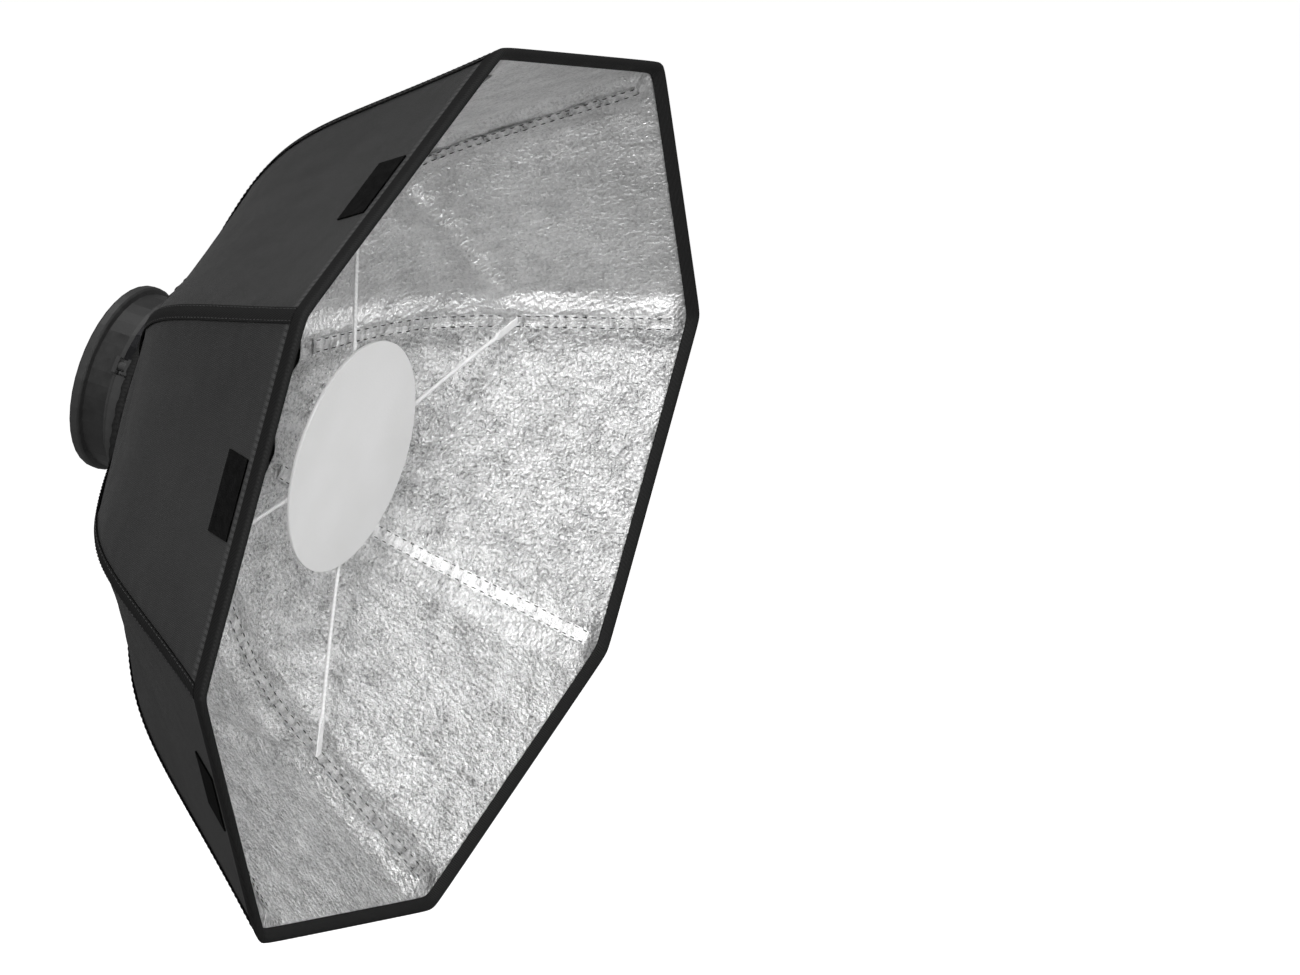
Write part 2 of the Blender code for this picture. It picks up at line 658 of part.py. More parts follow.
def make_ribs():
    """Eight ribs. Each hangs on an empty at its pivot, and each half panel on one at its pleat point."""
    pivot = Vector((PIVOT_R, -PIVOT_FORWARD, 0))
    to_pivot = Matrix.Translation(-pivot)
    meshes = {"rod": rod_mesh(), "rod_tip": tip_mesh(), "liner_gore": liner_mesh()}
    for mesh in meshes.values():
        mesh.transform(to_pivot)
    halves = {"left": (1, panel_mesh(1)), "right": (-1, panel_mesh(-1))}
    for side, mesh in halves.values():
        mesh.transform(Matrix.Translation(-pleat_point(side)))
    colours = {"rod": "rod_fibreglass", "rod_tip": "tip_plastic", "liner_gore": "silver_cloth"}
    for index in range(RIBS):
        turn = Matrix.Rotation(-rib_angle(index), 4, "Y")
        number = index + 1
        hinge = bpy.data.objects.new(f"rib_{number}_pivot", None)
        bpy.context.scene.collection.objects.link(hinge)
        hinge.matrix_world = turn @ Matrix.Translation(pivot)
        for kind, mesh in meshes.items():
            add_object(f"{kind}_{number}", mesh, colours[kind], hinge)
        for name, (side, mesh) in halves.items():
            line = bpy.data.objects.new(f"panel_{number}_{name}_pleat", None)
            bpy.context.scene.collection.objects.link(line)
            line.matrix_world = turn @ Matrix.Translation(pleat_point(side))
            add_object(f"panel_{number}_{name}", mesh, "black_cloth", line)


def make_cords():
    """Four white cords hold the plate, each from its edge to a tab on every second rib's liner."""
    share = share_at_depth(CORD_DEPTH)
    radius, forward = seam(share, liner_inset(share, 0) + LINER_THICKNESS + CORD_STANDOFF)
    for index in range(0, RIBS, 2):
        start = around(PLATE_R + GAP, PLATE_FORWARD, rib_angle(index))
        end = around(radius, forward, rib_angle(index))
        curve = bpy.data.curves.new(f"deflector_cord_{index + 1}", "CURVE")
        curve.dimensions = "3D"
        curve.bevel_depth = CORD_R
        curve.bevel_resolution = 2
        curve.use_fill_caps = True
        line = curve.splines.new("POLY")
        line.points.add(CORD_POINTS - 1)
        for i, point in enumerate(line.points):
            t = i / (CORD_POINTS - 1)
            drop = Vector((0, CORD_SAG * math.sin(math.pi * t), 0))
            point.co = (*(start.lerp(end, t) + drop), 1.0)
        thing = bpy.data.objects.new(f"deflector_cord_{index + 1}", curve)
        bpy.context.scene.collection.objects.link(thing)
        curve.materials.append(material("cord_white", thing.name))


def main():
    clear_scene()
    make_collar()
    make_sleeve()
    make_clamp()
    make_lever()
    make_hub()
    make_hem()
    make_plate()
    make_ribs()
    make_cords()


main()
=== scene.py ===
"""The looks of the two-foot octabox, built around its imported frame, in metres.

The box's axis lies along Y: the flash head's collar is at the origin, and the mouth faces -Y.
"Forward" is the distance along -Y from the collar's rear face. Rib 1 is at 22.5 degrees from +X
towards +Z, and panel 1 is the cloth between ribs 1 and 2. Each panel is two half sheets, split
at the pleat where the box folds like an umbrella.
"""

import math

import bmesh
import bpy
import numpy as np
from mathutils import Matrix, Vector, noise


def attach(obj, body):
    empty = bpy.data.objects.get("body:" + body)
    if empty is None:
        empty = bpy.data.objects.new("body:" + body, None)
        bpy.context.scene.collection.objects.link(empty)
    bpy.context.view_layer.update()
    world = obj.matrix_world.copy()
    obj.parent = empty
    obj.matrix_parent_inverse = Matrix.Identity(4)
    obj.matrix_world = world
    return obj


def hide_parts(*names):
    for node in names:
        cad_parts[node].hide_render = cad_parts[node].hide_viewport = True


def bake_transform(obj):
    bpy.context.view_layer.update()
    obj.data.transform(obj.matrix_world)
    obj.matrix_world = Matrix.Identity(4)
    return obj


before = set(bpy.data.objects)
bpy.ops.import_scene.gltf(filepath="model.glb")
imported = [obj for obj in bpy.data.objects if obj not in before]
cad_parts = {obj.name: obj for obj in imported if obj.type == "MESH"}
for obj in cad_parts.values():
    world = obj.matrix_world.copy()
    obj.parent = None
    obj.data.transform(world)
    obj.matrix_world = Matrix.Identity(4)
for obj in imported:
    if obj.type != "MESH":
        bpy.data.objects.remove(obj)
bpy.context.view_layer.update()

# ---- the dish, as the frame has it ----
RIBS = 8
RIB_STEP = math.tau / RIBS
HALF_STEP = RIB_STEP / 2
MOUTH_R = 0.305  # to a corner
MOUTH_FORWARD = 0.2525
# Bezier points of a rib's seam: (radius, depth behind the mouth)
SEAM_CURVE = np.array(((MOUTH_R, 0.0), (0.201, 0.136), (0.219, 0.148), (0.089, 0.197)))
PANEL_SAG = 0.004  # how far a panel's middle curves in
ROUND_FROM_SHARE = 0.78  # from here to the hem the octagon turns into a circle
PLATE_R = 0.0755
PLATE_FORWARD = 0.1715
CORD_DEPTH = 0.097  # of the cords' outer ends, behind the mouth
CORD_RIBS = (1, 3, 5, 7)

# ---- the cloth; "from" and "to" are distances along it from the mouth ----
ROWS = 84
HALF_COLUMNS = 30
RIB_ROUNDING = 0.004
BLACK_FROM = 0.001
BLACK_THICKNESS = 0.0006
SILVER_THICKNESS = 0.0005
LINER_INSET = 0.0018
LINER_FROM = 0.0025
LINER_TO_SHARE = 0.955
POCKET_RAISE = 0.0078  # how far a rod lifts the silver cloth
POCKET_HALF = 0.006
POCKET_FADE = 0.026
YOKE_FROM_SHARE = 0.735  # where the rear yoke is sewn to the panels; the yoke is painted darker, as painted shade on the rear-facing cloth
STITCH_LINE_ARC = 0.0135  # a sewn line beside the rim binding
SMOOTH_LIT_PANELS = (1, 2, 3)  # whose liner is stretched tightest; they also get the lighter copy of the silver, as painted light on these top panels

# how uneven the cloth is: (height, size of the features)
LINER_SLACK = (0.0016, 0.055)
LINER_STREAKS = (0.0012, 0.040)
LINER_PUCKER = (0.0007, 0.012)
BLACK_RUMPLES = (0.0016, 0.075)
BLACK_STREAKS = (0.0009, 0.030)
BLACK_PUCKER = (0.0005, 0.014)
POCKET_PUCKER = (0.0009, 0.011)
# the fold that runs down a liner panel from a cord's tab, and the dip beside it: (height, width)
CREASE = (0.0042, 0.010)
CREASE_DIP = (0.0006, 0.016)
CREASE_TO_DEPTH = 0.148
YOKE_DROP = 0.0007
YOKE_WELT = 0.0006

# a patch of loop pile near the rim
PATCH_WIDTH = 0.050
PATCH_LENGTH = 0.026
PATCH_FROM = 0.017
PATCH_THICKNESS = 0.0011
PATCH_STEPS = 7

# (distance along the cloth from the mouth, inset) round the binding's section
BINDING = (
    (0.0090, -0.0003), (0.0090, -0.0011), (0.0045, -0.0015), (0.0000, -0.0014), (-0.0015, -0.0009),
    (-0.0022, 0.0004), (-0.0022, 0.0018), (-0.0015, 0.0034), (0.0000, 0.0041), (0.0035, 0.0044),
    (0.0068, 0.0043), (0.0070, 0.0037), (0.0035, 0.0036), (0.0000, 0.0033), (-0.0009, 0.0027),
    (-0.0013, 0.0016), (-0.0013, 0.0006), (-0.0006, -0.0002), (0.0045, -0.0005),
)

# sewn strips over the ribs; stitches are (length, pitch, radius)
TAPE_HALF = 0.0056
TAPE_THICKNESS = 0.0009
TAPE_LIFT = 0.0005
TAPE_FROM = 0.0085
TAPE_END_GAP = 0.004
TAPE_ROWS = 72
TAPE_STITCH = (0.0030, 0.0042, 0.00026)
STRIP_HALF = 0.0054
STRIP_THICKNESS = 0.0008
STRIP_LIFT = 0.0012
STRIP_CROWN = 0.0008
STRIP_FROM = 0.0165
STRIP_TO_SHARE = 0.93
STRIP_ROWS = 200
STRIP_STITCH = (0.0034, 0.0062, 0.00034)

# the plate with its clips, and the cords with their tabs
PLATE_HALF = 0.00125  # of its thickness
PLATE_BEVEL = 0.0005
CLIP_INSETS = (0.009, 0.001)  # of a clip's ends, from the plate's edge
CLIP_BEHIND = 0.0016
CLIP_RADII = (0.0004, 0.0015, 0.0017, 0.0017, 0.0015, 0.0004)
CORD_R = 0.0013
CORD_SAG = 0.0008
CORD_START = (PLATE_R - 0.006, PLATE_FORWARD - 0.0032)
TAB_LENGTH = 0.031
TAB_OVERLAP = 0.006  # of the cord's end and the tab
TAB_LIFT = 0.0022
TAB_HALF = 0.0031
TAB_FLARE = 0.0016
TAB_THICKNESS = 0.0009
TAB_NECK = 0.0007
# half widths and half thicknesses round a tab's section
TAB_SECTION = ((-1, 0), (-0.9, 0.8), (-0.5, 1), (0.5, 1), (0.9, 0.8),
               (1, 0), (0.9, -0.8), (0.5, -1), (-0.5, -1), (-0.9, -0.8))

# the hem
HEM_STEPS = 384
HEM_SIDES = 14
HEM_GATHERS = 56
HEM_OUTER_R = 0.0914
HEM_INNER_R = 0.0846
HEM_REACH = 0.0013  # how much further in it comes between the rods
HEM_REACH_ANGLES = (0.168, 0.20)
HEM_FORWARD = 0.0526
HEM_HALF_DEPTH = 0.0031
HEM_SQUARENESS = 0.45

# the hub's conical back, and what is on it
HUB_SLOPE = 0.6585  # forward per radius
HUB_NECK = (0.0625, 0.0400)  # (radius, forward) of its narrow end
BLOCK_RAISE = 0.0026
MARK_R = 0.0694  # where the dots and bars are
DOT_SIDEWAYS = (-0.0040, -0.0012)
DOT_PROFILE = ((-0.0004, 0.00105), (0.0001, 0.00105), (0.0003, 0.0008))
BAR_SIDEWAYS = (0.0012, 0.0046)
BAR_RADII = (0.0004, 0.0007, 0.0007, 0.0004)
FIN_DEGREES = (13.0, 32.0)  # from each rib
FIN_ENDS = (0.0645, 0.0815)
FIN_RADII = (0.0002, 0.0007, 0.0008, 0.0008, 0.0008, 0.0008, 0.0007, 0.0002)
NECK_RING = (0.0626, 0.0419)  # (radius, forward)
NECK_RING_HALVES = (0.0006, 0.0005)


# ---- numbers along the dish ----
def smooth_step(value, low, high):
    t = np.clip((value - low) / (high - low), 0.0, 1.0)
    return t * t * (3 - 2 * t)


def seam(share, inset=0.0):
    """(radius, forward) on a rib's seam, or inside it; share is 0 at the mouth and 1 at the hem."""
    t = np.asarray(share, float)
    weights = ((1 - t) ** 3, 3 * (1 - t) ** 2 * t, 3 * (1 - t) * t * t, t ** 3)
    radius, depth = (sum(w * p[i] for w, p in zip(weights, SEAM_CURVE)) for i in (0, 1))
    slopes = (3 * (1 - t) ** 2, 6 * (1 - t) * t, 3 * t * t)
    spans = np.diff(SEAM_CURVE, axis=0)
    run, rise = (sum(w * span[i] for w, span in zip(slopes, spans)) for i in (0, 1))
    length = np.hypot(run, rise)
    return radius - inset * rise / length, MOUTH_FORWARD - depth - inset * run / length


SHARES = np.linspace(-0.03, 1.0, 1031)
SEAM_RADII, SEAM_FORWARDS = seam(SHARES)
ARCS = np.concatenate(([0.0], np.cumsum(np.hypot(np.diff(SEAM_RADII), np.diff(SEAM_FORWARDS)))))
ARCS -= np.interp(0.0, SHARES, ARCS)
DEPTHS = MOUTH_FORWARD - SEAM_FORWARDS
SEAM_LENGTH = float(ARCS[-1])


def half_side(share):
    """Half the distance between two ribs there."""
    return seam(share)[0] * math.sin(HALF_STEP)


def share_at_arc(arc):
    return np.interp(arc, ARCS, SHARES)


def arc_at_share(share):
    return np.interp(share, SHARES, ARCS)


def share_at_depth(depth):
    return float(np.interp(depth, DEPTHS, SHARES))


def rib_angle(rib):
    return HALF_STEP + RIB_STEP * (rib - 1)


def turned_to(points, angle):
    """Points with x outward and z sideways at angle 0, turned about Y to that angle."""
    out = np.array(points, float)
    x, z = out[..., 0].copy(), out[..., 2].copy()
    out[..., 0] = x * math.cos(angle) - z * math.sin(angle)
    out[..., 2] = x * math.sin(angle) + z * math.cos(angle)
    return out


def cloth_point(share, place, inset):
    """A point of a panel that faces +X; place is -1 and 1 on its ribs and 0 between them."""
    share, place, inset = np.broadcast_arrays(share, place, inset)
    sag = PANEL_SAG * (1 - place ** 2) * np.sin(math.pi * np.clip(share, 0, 1))
    radius, forward = seam(share, inset + sag)
    flat_x, flat_z = radius * math.cos(HALF_STEP), place * radius * math.sin(HALF_STEP)
    from_rib = (1 - np.abs(place)) * radius * math.sin(HALF_STEP) * math.cos(HALF_STEP)
    pull = math.tan(HALF_STEP) * (np.sqrt(from_rib ** 2 + RIB_ROUNDING ** 2) - from_rib)
    flat_x = flat_x - pull * math.cos(HALF_STEP)
    flat_z = flat_z - pull * math.sin(HALF_STEP) * np.sign(place)
    arc_x, arc_z = radius * np.cos(place * HALF_STEP), radius * np.sin(place * HALF_STEP)
    part = smooth_step(share, ROUND_FROM_SHARE, 1.0)
    x, z = flat_x + (arc_x - flat_x) * part, flat_z + (arc_z - flat_z) * part
    return np.stack([x, -forward, z], axis=-1)


def grid_normals(points):
    """Unit normals of a grid of points, towards the dish's outside."""
    down = np.gradient(points, axis=0)
    over = np.gradient(points, axis=1)
    normal = np.cross(down, over)
    normal /= np.maximum(np.linalg.norm(normal, axis=-1, keepdims=True), 1e-12)
    middle = points[len(points) // 2, points.shape[1] // 2]
    if normal[len(points) // 2, points.shape[1] // 2] @ (middle * (1, 0, 1)) < 0:
        normal = -normal
    return normal


def noise_grid(points, scale, seed, stretch=(1.0, 1.0)):
    """Smooth noise from -1 to 1 over (across, along) pairs in metres, its features scale wide."""
    flat = points.reshape(-1, 2)
    values = [noise.noise(Vector((u * stretch[0] / scale, v * stretch[1] / scale, seed)))
              for u, v in flat]
    return np.array(values).reshape(points.shape[:-1])


# ---- meshes ----
def add_object(name, data):
    thing = bpy.data.objects.new(name, data)
    bpy.context.scene.collection.objects.link(thing)
    return thing


def add_mesh(name, vertices, faces):
    mesh = bpy.data.meshes.new(name)
    mesh.from_pydata([tuple(v) for v in vertices], [], faces)
    mesh.validate()
    mesh.update()
    mesh.shade_smooth()
    return add_object(name, mesh)


def sheet_mesh(name, front, back, normals, uv):
    """A thin closed solid between two grids of points, shaded by the front's normals."""
    normals = normals.reshape(-1, 3)
    rows, columns = front.shape[:2]
    count = rows * columns
    index = np.arange(count).reshape(rows, columns)
    corners = index[:-1, :-1], index[1:, :-1], index[1:, 1:], index[:-1, 1:]
    quads = np.stack(corners, axis=-1).reshape(-1, 4)
    edge = np.concatenate([index[0, :-1], index[:-1, -1], index[-1, :0:-1], index[:0:-1, 0]])
    after = np.roll(edge, -1)
    sides = np.stack([edge, after, after + count, edge + count], axis=-1)
    vertices = np.concatenate([front.reshape(-1, 3), back.reshape(-1, 3)])
    first = quads[0]
    a, b, c = vertices[first[:3]]
    turn = np.cross(b - a, c - a)
    if turn @ normals[first[0]] < 0:
        quads = quads[:, ::-1]
    else:
        sides = sides[:, ::-1]
    faces = quads.tolist() + (quads[:, ::-1] + count).tolist() + sides.tolist()
    thing = add_mesh(name, vertices, faces)
    mesh = thing.data
    layer = mesh.uv_layers.new(name="cloth")
    loops = np.zeros(len(mesh.loops), np.int32)
    mesh.loops.foreach_get("vertex_index", loops)
    both = np.concatenate([uv.reshape(-1, 2)] * 2)
    layer.data.foreach_set("uv", both[loops].astype(np.float32).ravel())
    mesh.normals_split_custom_set_from_vertices(np.concatenate([normals, -normals]).tolist())
    return thing


def loft_mesh(name, rings, cyclic=False, angle=None):
    """A skin through rings of points, rings[i][j], with flat ends unless it is cyclic."""
    rings = np.asarray(rings, float)
    count, around = rings.shape[:2]
    index = np.arange(count * around).reshape(count, around)
    faces = []
    joins = list(zip(range(count - 1), range(1, count))) + ([(count - 1, 0)] if cyclic else [])
    for i, k in joins:
        for j in range(around):
            m = (j + 1) % around
            faces.append((index[i, j], index[i, m], index[k, m], index[k, j]))
    if not cyclic:
        faces.append(tuple(index[0, ::-1]))
        faces.append(tuple(index[-1]))
    thing = add_mesh(name, rings.reshape(-1, 3), [tuple(int(i) for i in f) for f in faces])
    outward_normals(thing.data)
    if angle is not None:
        thing.data.set_sharp_from_angle(angle=math.radians(angle))
    return thing


def outward_normals(mesh):
    """Turns every face of a closed mesh outwards."""
    bm = bmesh.new()
    bm.from_mesh(mesh)
    bmesh.ops.recalc_face_normals(bm, faces=bm.faces)
    bm.to_mesh(mesh)
    bm.free()


def tube(name, line, radius, sides=10):
    """A round tube along a line of points; radius is one number or one for each point."""
    line = np.asarray(line, float)
    radii = np.broadcast_to(radius, len(line))
    along = np.gradient(line, axis=0)
    along /= np.linalg.norm(along, axis=1, keepdims=True)
    side = np.cross(along[0], (0.0, 1.0, 0.0))
    if np.linalg.norm(side) < 0.1:
        side = np.cross(along[0], (1.0, 0.0, 0.0))
    rings = []
    for centre, direction, r in zip(line, along, radii):
        side = side - direction * (side @ direction)
        side /= np.linalg.norm(side)
        up = np.cross(direction, side)
        turn = np.linspace(0, math.tau, sides, endpoint=False)
        rings.append([centre + r * (side * math.cos(a) + up * math.sin(a)) for a in turn])
    return loft_mesh(name, rings)


def joined(name, things):
    """One object that holds the meshes of several, which are removed."""
    bm = bmesh.new()
    for thing in things:
        bm.from_mesh(thing.data)
        mesh = thing.data
        bpy.data.objects.remove(thing)
        bpy.data.meshes.remove(mesh)
    mesh = bpy.data.meshes.new(name)
    bm.to_mesh(mesh)
    bm.free()
    return add_object(name, mesh)


def stitch_row(name, line, normals, length, pitch, radius):
    """Sewn stitches: short threads that lie along a line, on the side its normals point to."""
    line, normals = np.asarray(line, float), np.asarray(normals, float)
    steps = np.concatenate(([0.0], np.cumsum(np.linalg.norm(np.diff(line, axis=0), axis=1))))
    vertices, faces = [], []
    sides = 5
    nearby = 0.0005
    profile = ((-0.5, 0.25), (-0.32, 0.9), (0.0, 1.1), (0.32, 0.9), (0.5, 0.25))

    def sample(values, place):
        return np.array([np.interp(place, steps, values[:, i]) for i in range(3)])

    at = pitch / 2
    while at + length / 2 < steps[-1]:
        base = len(vertices)
        for along, swell in profile:
            place = at + along * length
            run = sample(line, place + nearby) - sample(line, place - nearby)
            direction = run / np.linalg.norm(run)
            up = sample(normals, place)
            up /= np.linalg.norm(up)
            side = np.cross(direction, up)
            centre = sample(line, place) + up * radius * (0.5 - 2.2 * along * along)
            for k in range(sides):
                a = math.tau * k / sides
                vertices.append(centre + radius * swell * (side * math.cos(a) + up * math.sin(a)))
        for i in range(len(profile) - 1):
            for k in range(sides):
                m = (k + 1) % sides
                a, b = base + i * sides, base + (i + 1) * sides
                faces.append((a + k, a + m, b + m, b + k))
        faces.append(tuple(base + k for k in reversed(range(sides))))
        faces.append(tuple(base + (len(profile) - 1) * sides + k for k in range(sides)))
        at += pitch
    thing = add_mesh(name, vertices, faces)
    outward_normals(thing.data)
    return thing


# ---- materials ----
class Nodes:
    """A material's node tree, with short calls for the nodes used here."""

    def __init__(self, name, colour, roughness, metallic=0.0, **sockets):
        self.material = bpy.data.materials.new(name)
        self.material.use_nodes = True
        self.tree = self.material.node_tree
        self.shader = self.tree.nodes["Principled BSDF"]
        self.shader.inputs["Base Color"].default_value = (*colour, 1.0)
        self.shader.inputs["Roughness"].default_value = roughness
        self.shader.inputs["Metallic"].default_value = metallic
        for socket, value in sockets.items():
            self.shader.inputs[socket.replace("_", " ")].default_value = value
        self.height = None

    def add(self, kind, **settings):
        node = self.tree.nodes.new(kind)
        for key, value in settings.items():
            setattr(node, key, value)
        return node

    def link(self, start, end):
        self.tree.links.new(start, end)

    def cloth_coordinates(self):
        return self.add("ShaderNodeUVMap", uv_map="cloth").outputs["UV"]

    def object_coordinates(self):
        return self.add("ShaderNodeTexCoord").outputs["Object"]

    def scaled(self, vector, scale, rotation=0.0):
        node = self.add("ShaderNodeMapping")
        node.inputs["Scale"].default_value = scale
        node.inputs["Rotation"].default_value = (0.0, 0.0, rotation)
        self.link(vector, node.inputs["Vector"])
        return node.outputs["Vector"]

    def noise(self, vector, size, detail=2.0, roughness=0.5, distortion=0.0):
        """Noise whose features are about that many metres across."""
        node = self.add("ShaderNodeTexNoise")
        node.inputs["Scale"].default_value = 1.0 / size
        node.inputs["Detail"].default_value = detail
        node.inputs["Roughness"].default_value = roughness
        node.inputs["Distortion"].default_value = distortion
        self.link(vector, node.inputs["Vector"])
        return node.outputs["Fac"]

    def cells(self, vector, size):
        node = self.add("ShaderNodeTexVoronoi", feature="F1")
        node.inputs["Scale"].default_value = 1.0 / size
        node.inputs["Randomness"].default_value = 1.0
        self.link(vector, node.inputs["Vector"])
        return node.outputs["Distance"]

    def waves(self, vector, size, direction, distortion=0.0):
        """Bands that many metres apart; at scale 1 the node's own are 0.314 apart."""
        node = self.add("ShaderNodeTexWave", bands_direction=direction)
        node.inputs["Scale"].default_value = 0.314 / size
        node.inputs["Distortion"].default_value = distortion
        self.link(vector, node.inputs["Vector"])
        return node.outputs["Fac"]

    def ramp(self, value, stops):
        """Maps a value through (position, grey or colour) stops."""
        node = self.add("ShaderNodeValToRGB")
        elements = node.color_ramp.elements
        while len(elements) < len(stops):
            elements.new(0.5)
        for element, (position, colour) in zip(elements, stops):
            element.position = position
            shade = (colour,) * 3 if isinstance(colour, float) else colour
            element.color = (*shade, 1.0)
        self.link(value, node.inputs["Fac"])
        return node.outputs["Color"]

    def math(self, operation, a, b):
        node = self.add("ShaderNodeMath", operation=operation)
        for socket, value in zip(node.inputs, (a, b)):
            if isinstance(value, float):
                socket.default_value = value
            else:
                self.link(value, socket)
        return node.outputs["Value"]

    def mix(self, factor, a, b, blend="MIX"):
        node = self.add("ShaderNodeMix", data_type="RGBA", blend_type=blend)
        for key, value in (("Factor", factor), ("A", a), ("B", b)):
            socket = node.inputs[key]
            if isinstance(value, float):
                socket.default_value = value
            elif isinstance(value, tuple):
                socket.default_value = (*value, 1.0)
            else:
                self.link(value, socket)
        return node.outputs["Result"]

    def part(self, vector, axis):
        node = self.add("ShaderNodeSeparateXYZ")
        self.link(vector, node.inputs["Vector"])
        return node.outputs[axis]

    def bump(self, height, distance):
        """Adds a bump on top of the ones already there; distance is the height of 1, in metres."""
        node = self.add("ShaderNodeBump")
        node.inputs["Strength"].default_value = 1.0
        node.inputs["Distance"].default_value = distance
        self.link(height, node.inputs["Height"])
        if self.height is not None:
            self.link(self.height, node.inputs["Normal"])
        self.height = node.outputs["Normal"]
        self.link(self.height, self.shader.inputs["Normal"])

    def colour(self, output):
        self.link(output, self.shader.inputs["Base Color"])

    def rough(self, output):
        self.link(output, self.shader.inputs["Roughness"])


def silver_cloth(name, crinkle):
    """Silver laminate: fine grain, dark flecks, mottling and faint creases; crinkle is 0 to 1, and
    less of it also paints the tone lighter.
    """
    m = Nodes(name, (0.80, 0.80, 0.81), 0.40, 0.88)
    uv = m.cloth_coordinates()
    fine = m.noise(uv, 0.0022, detail=3.0, roughness=0.7, distortion=0.6)
    coarse = m.noise(uv, 0.018, detail=4.0, roughness=0.65)
    wide = m.noise(uv, 0.07, detail=2.0)
    streak = m.noise(m.scaled(uv, (2.6, 0.6, 1.0), 0.5), 0.016, detail=3.0, roughness=0.6)
    facets = m.cells(uv, 0.0036)
    spots = m.math("ADD", m.math("MULTIPLY", fine, 0.60), m.math("MULTIPLY", coarse, 0.40))
    low = 0.68 - 0.34 * crinkle
    tone = m.ramp(spots, [(0.36, low), (0.45, 0.5 * (low + 1)), (0.54, 0.92), (0.62, 1.0)])
    flecks = m.noise(uv, 0.0030, detail=2.0, roughness=0.8)
    flecks = m.ramp(flecks, [(0.31, 0.85 - 0.45 * crinkle), (0.39, 1.0)])
    tone = m.mix(1.0, tone, flecks, "MULTIPLY")
    tone = m.mix(1.0, tone, m.ramp(wide, [(0.32, 0.84), (0.62, 1.0)]), "MULTIPLY")
    m.colour(m.mix(1.0, tone, m.ramp(streak, [(0.34, 0.90), (0.52, 1.0)]), "MULTIPLY"))
    m.rough(m.ramp(fine, [(0.3, 0.34), (0.7, 0.50)]))
    m.bump(facets, 0.0003 + 0.0007 * crinkle)
    m.bump(fine, 0.0006 + 0.0012 * crinkle)
    m.bump(streak, 0.0004 + 0.0010 * crinkle)
    m.bump(coarse, 0.0012 + 0.0022 * crinkle)
    return m.material


def pocket_cloth():
    """The same silver laminate, drawn tight and puckered by its stitches."""
    m = Nodes("pocket_silver", (0.85, 0.85, 0.86), 0.38, 0.85)
    uv = m.cloth_coordinates()
    pleats = m.noise(m.scaled(uv, (0.35, 1.0, 1.0)), 0.0045, detail=3.0, roughness=0.6)
    fine = m.noise(uv, 0.0019, detail=3.0, roughness=0.7)
    tone = m.ramp(pleats, [(0.34, 0.50), (0.46, 0.80), (0.60, 1.0)])
    m.colour(m.mix(0.4, tone, m.ramp(fine, [(0.3, 0.4), (0.7, 1.0)]), "MULTIPLY"))
    m.rough(m.ramp(pleats, [(0.3, 0.26), (0.7, 0.44)]))
    m.bump(pleats, 0.0012)
    m.bump(fine, 0.0010)
    return m.material


def black_cloth():
    """Coated black nylon: weave, soft rumples, dust, a sewn line by the rim, and a yoke painted
    darker as painted shade.
    """
    shade = 0.015
    m = Nodes("black_nylon", (shade,) * 3, 0.62, Sheen_Weight=0.05, Sheen_Roughness=0.5,
              Specular_IOR_Level=0.28)
    uv = m.cloth_coordinates()
    along = m.part(uv, "Y")
    weave = m.math("MULTIPLY", m.waves(uv, 0.0011, "X"), m.waves(uv, 0.0011, "Y"))
    rumple = m.noise(uv, 0.05, detail=2.0)
    dust = m.noise(uv, 0.16, detail=4.0, roughness=0.6)
    tone = m.ramp(dust, [(0.30, shade * 0.70), (0.52, shade), (0.74, shade * 1.5)])
    tone = m.mix(m.math("MULTIPLY", weave, 0.22), tone, (shade * 2.2,) * 3)
    off_line = m.math("ABSOLUTE", m.math("SUBTRACT", along, STITCH_LINE_ARC), 0.0)
    line = m.ramp(off_line, [(0.0, 1.0), (0.0009, 0.0)])
    dashes = m.waves(m.scaled(uv, (1.0, 0.0, 0.0)), 0.0042, "X")
    dashes = m.ramp(dashes, [(0.25, 0.0), (0.45, 1.0)])
    tone = m.mix(m.math("MULTIPLY", line, dashes), tone, (shade * 3.4,) * 3)
    # painted shade: the rear yoke is painted darker, standing in for the shade on the rear-facing
    # cloth
    yoke = m.math("GREATER_THAN", along, float(arc_at_share(YOKE_FROM_SHARE)))
    m.colour(m.mix(m.math("MULTIPLY", yoke, 0.6), tone, (shade * 0.35,) * 3))
    m.rough(m.ramp(dust, [(0.3, 0.52), (0.7, 0.70)]))
    m.bump(weave, 0.00022)
    m.bump(rumple, 0.0022)
    m.bump(line, 0.0004)
    return m.material


def webbing(name, shade, size=0.0013):
    """Woven tape or twisted thread: ribs of that size in metres, and a little fuzz."""
    m = Nodes(name, (shade,) * 3, 0.78, Specular_IOR_Level=0.18)
    at = m.object_coordinates()
    ribs = m.waves(m.scaled(at, (1.0, 1.0, 1.0), 0.6), size, "DIAGONAL")
    fuzz = m.noise(at, 0.0009, detail=3.0)
    tone = m.ramp(fuzz, [(0.3, shade * 0.7), (0.7, shade * 1.3)])
    m.colour(m.mix(m.math("MULTIPLY", ribs, 0.3), tone, (min(1.0, shade * 1.7),) * 3))
    m.bump(ribs, 0.00025)
    m.bump(fuzz, 0.0002)
    return m.material


def loop_patch():
    """The fuzzy half of a hook-and-loop fastener."""
    m = Nodes("loop_pile", (0.005,) * 3, 0.95, Specular_IOR_Level=0.08)
    uv = m.cloth_coordinates()
    loops = m.cells(uv, 0.0011)
    clumps = m.noise(uv, 0.006, detail=3.0)
    m.colour(m.ramp(clumps, [(0.3, 0.003), (0.7, 0.008)]))
    m.bump(loops, 0.0006)
    m.bump(clumps, 0.0006)
    return m.material


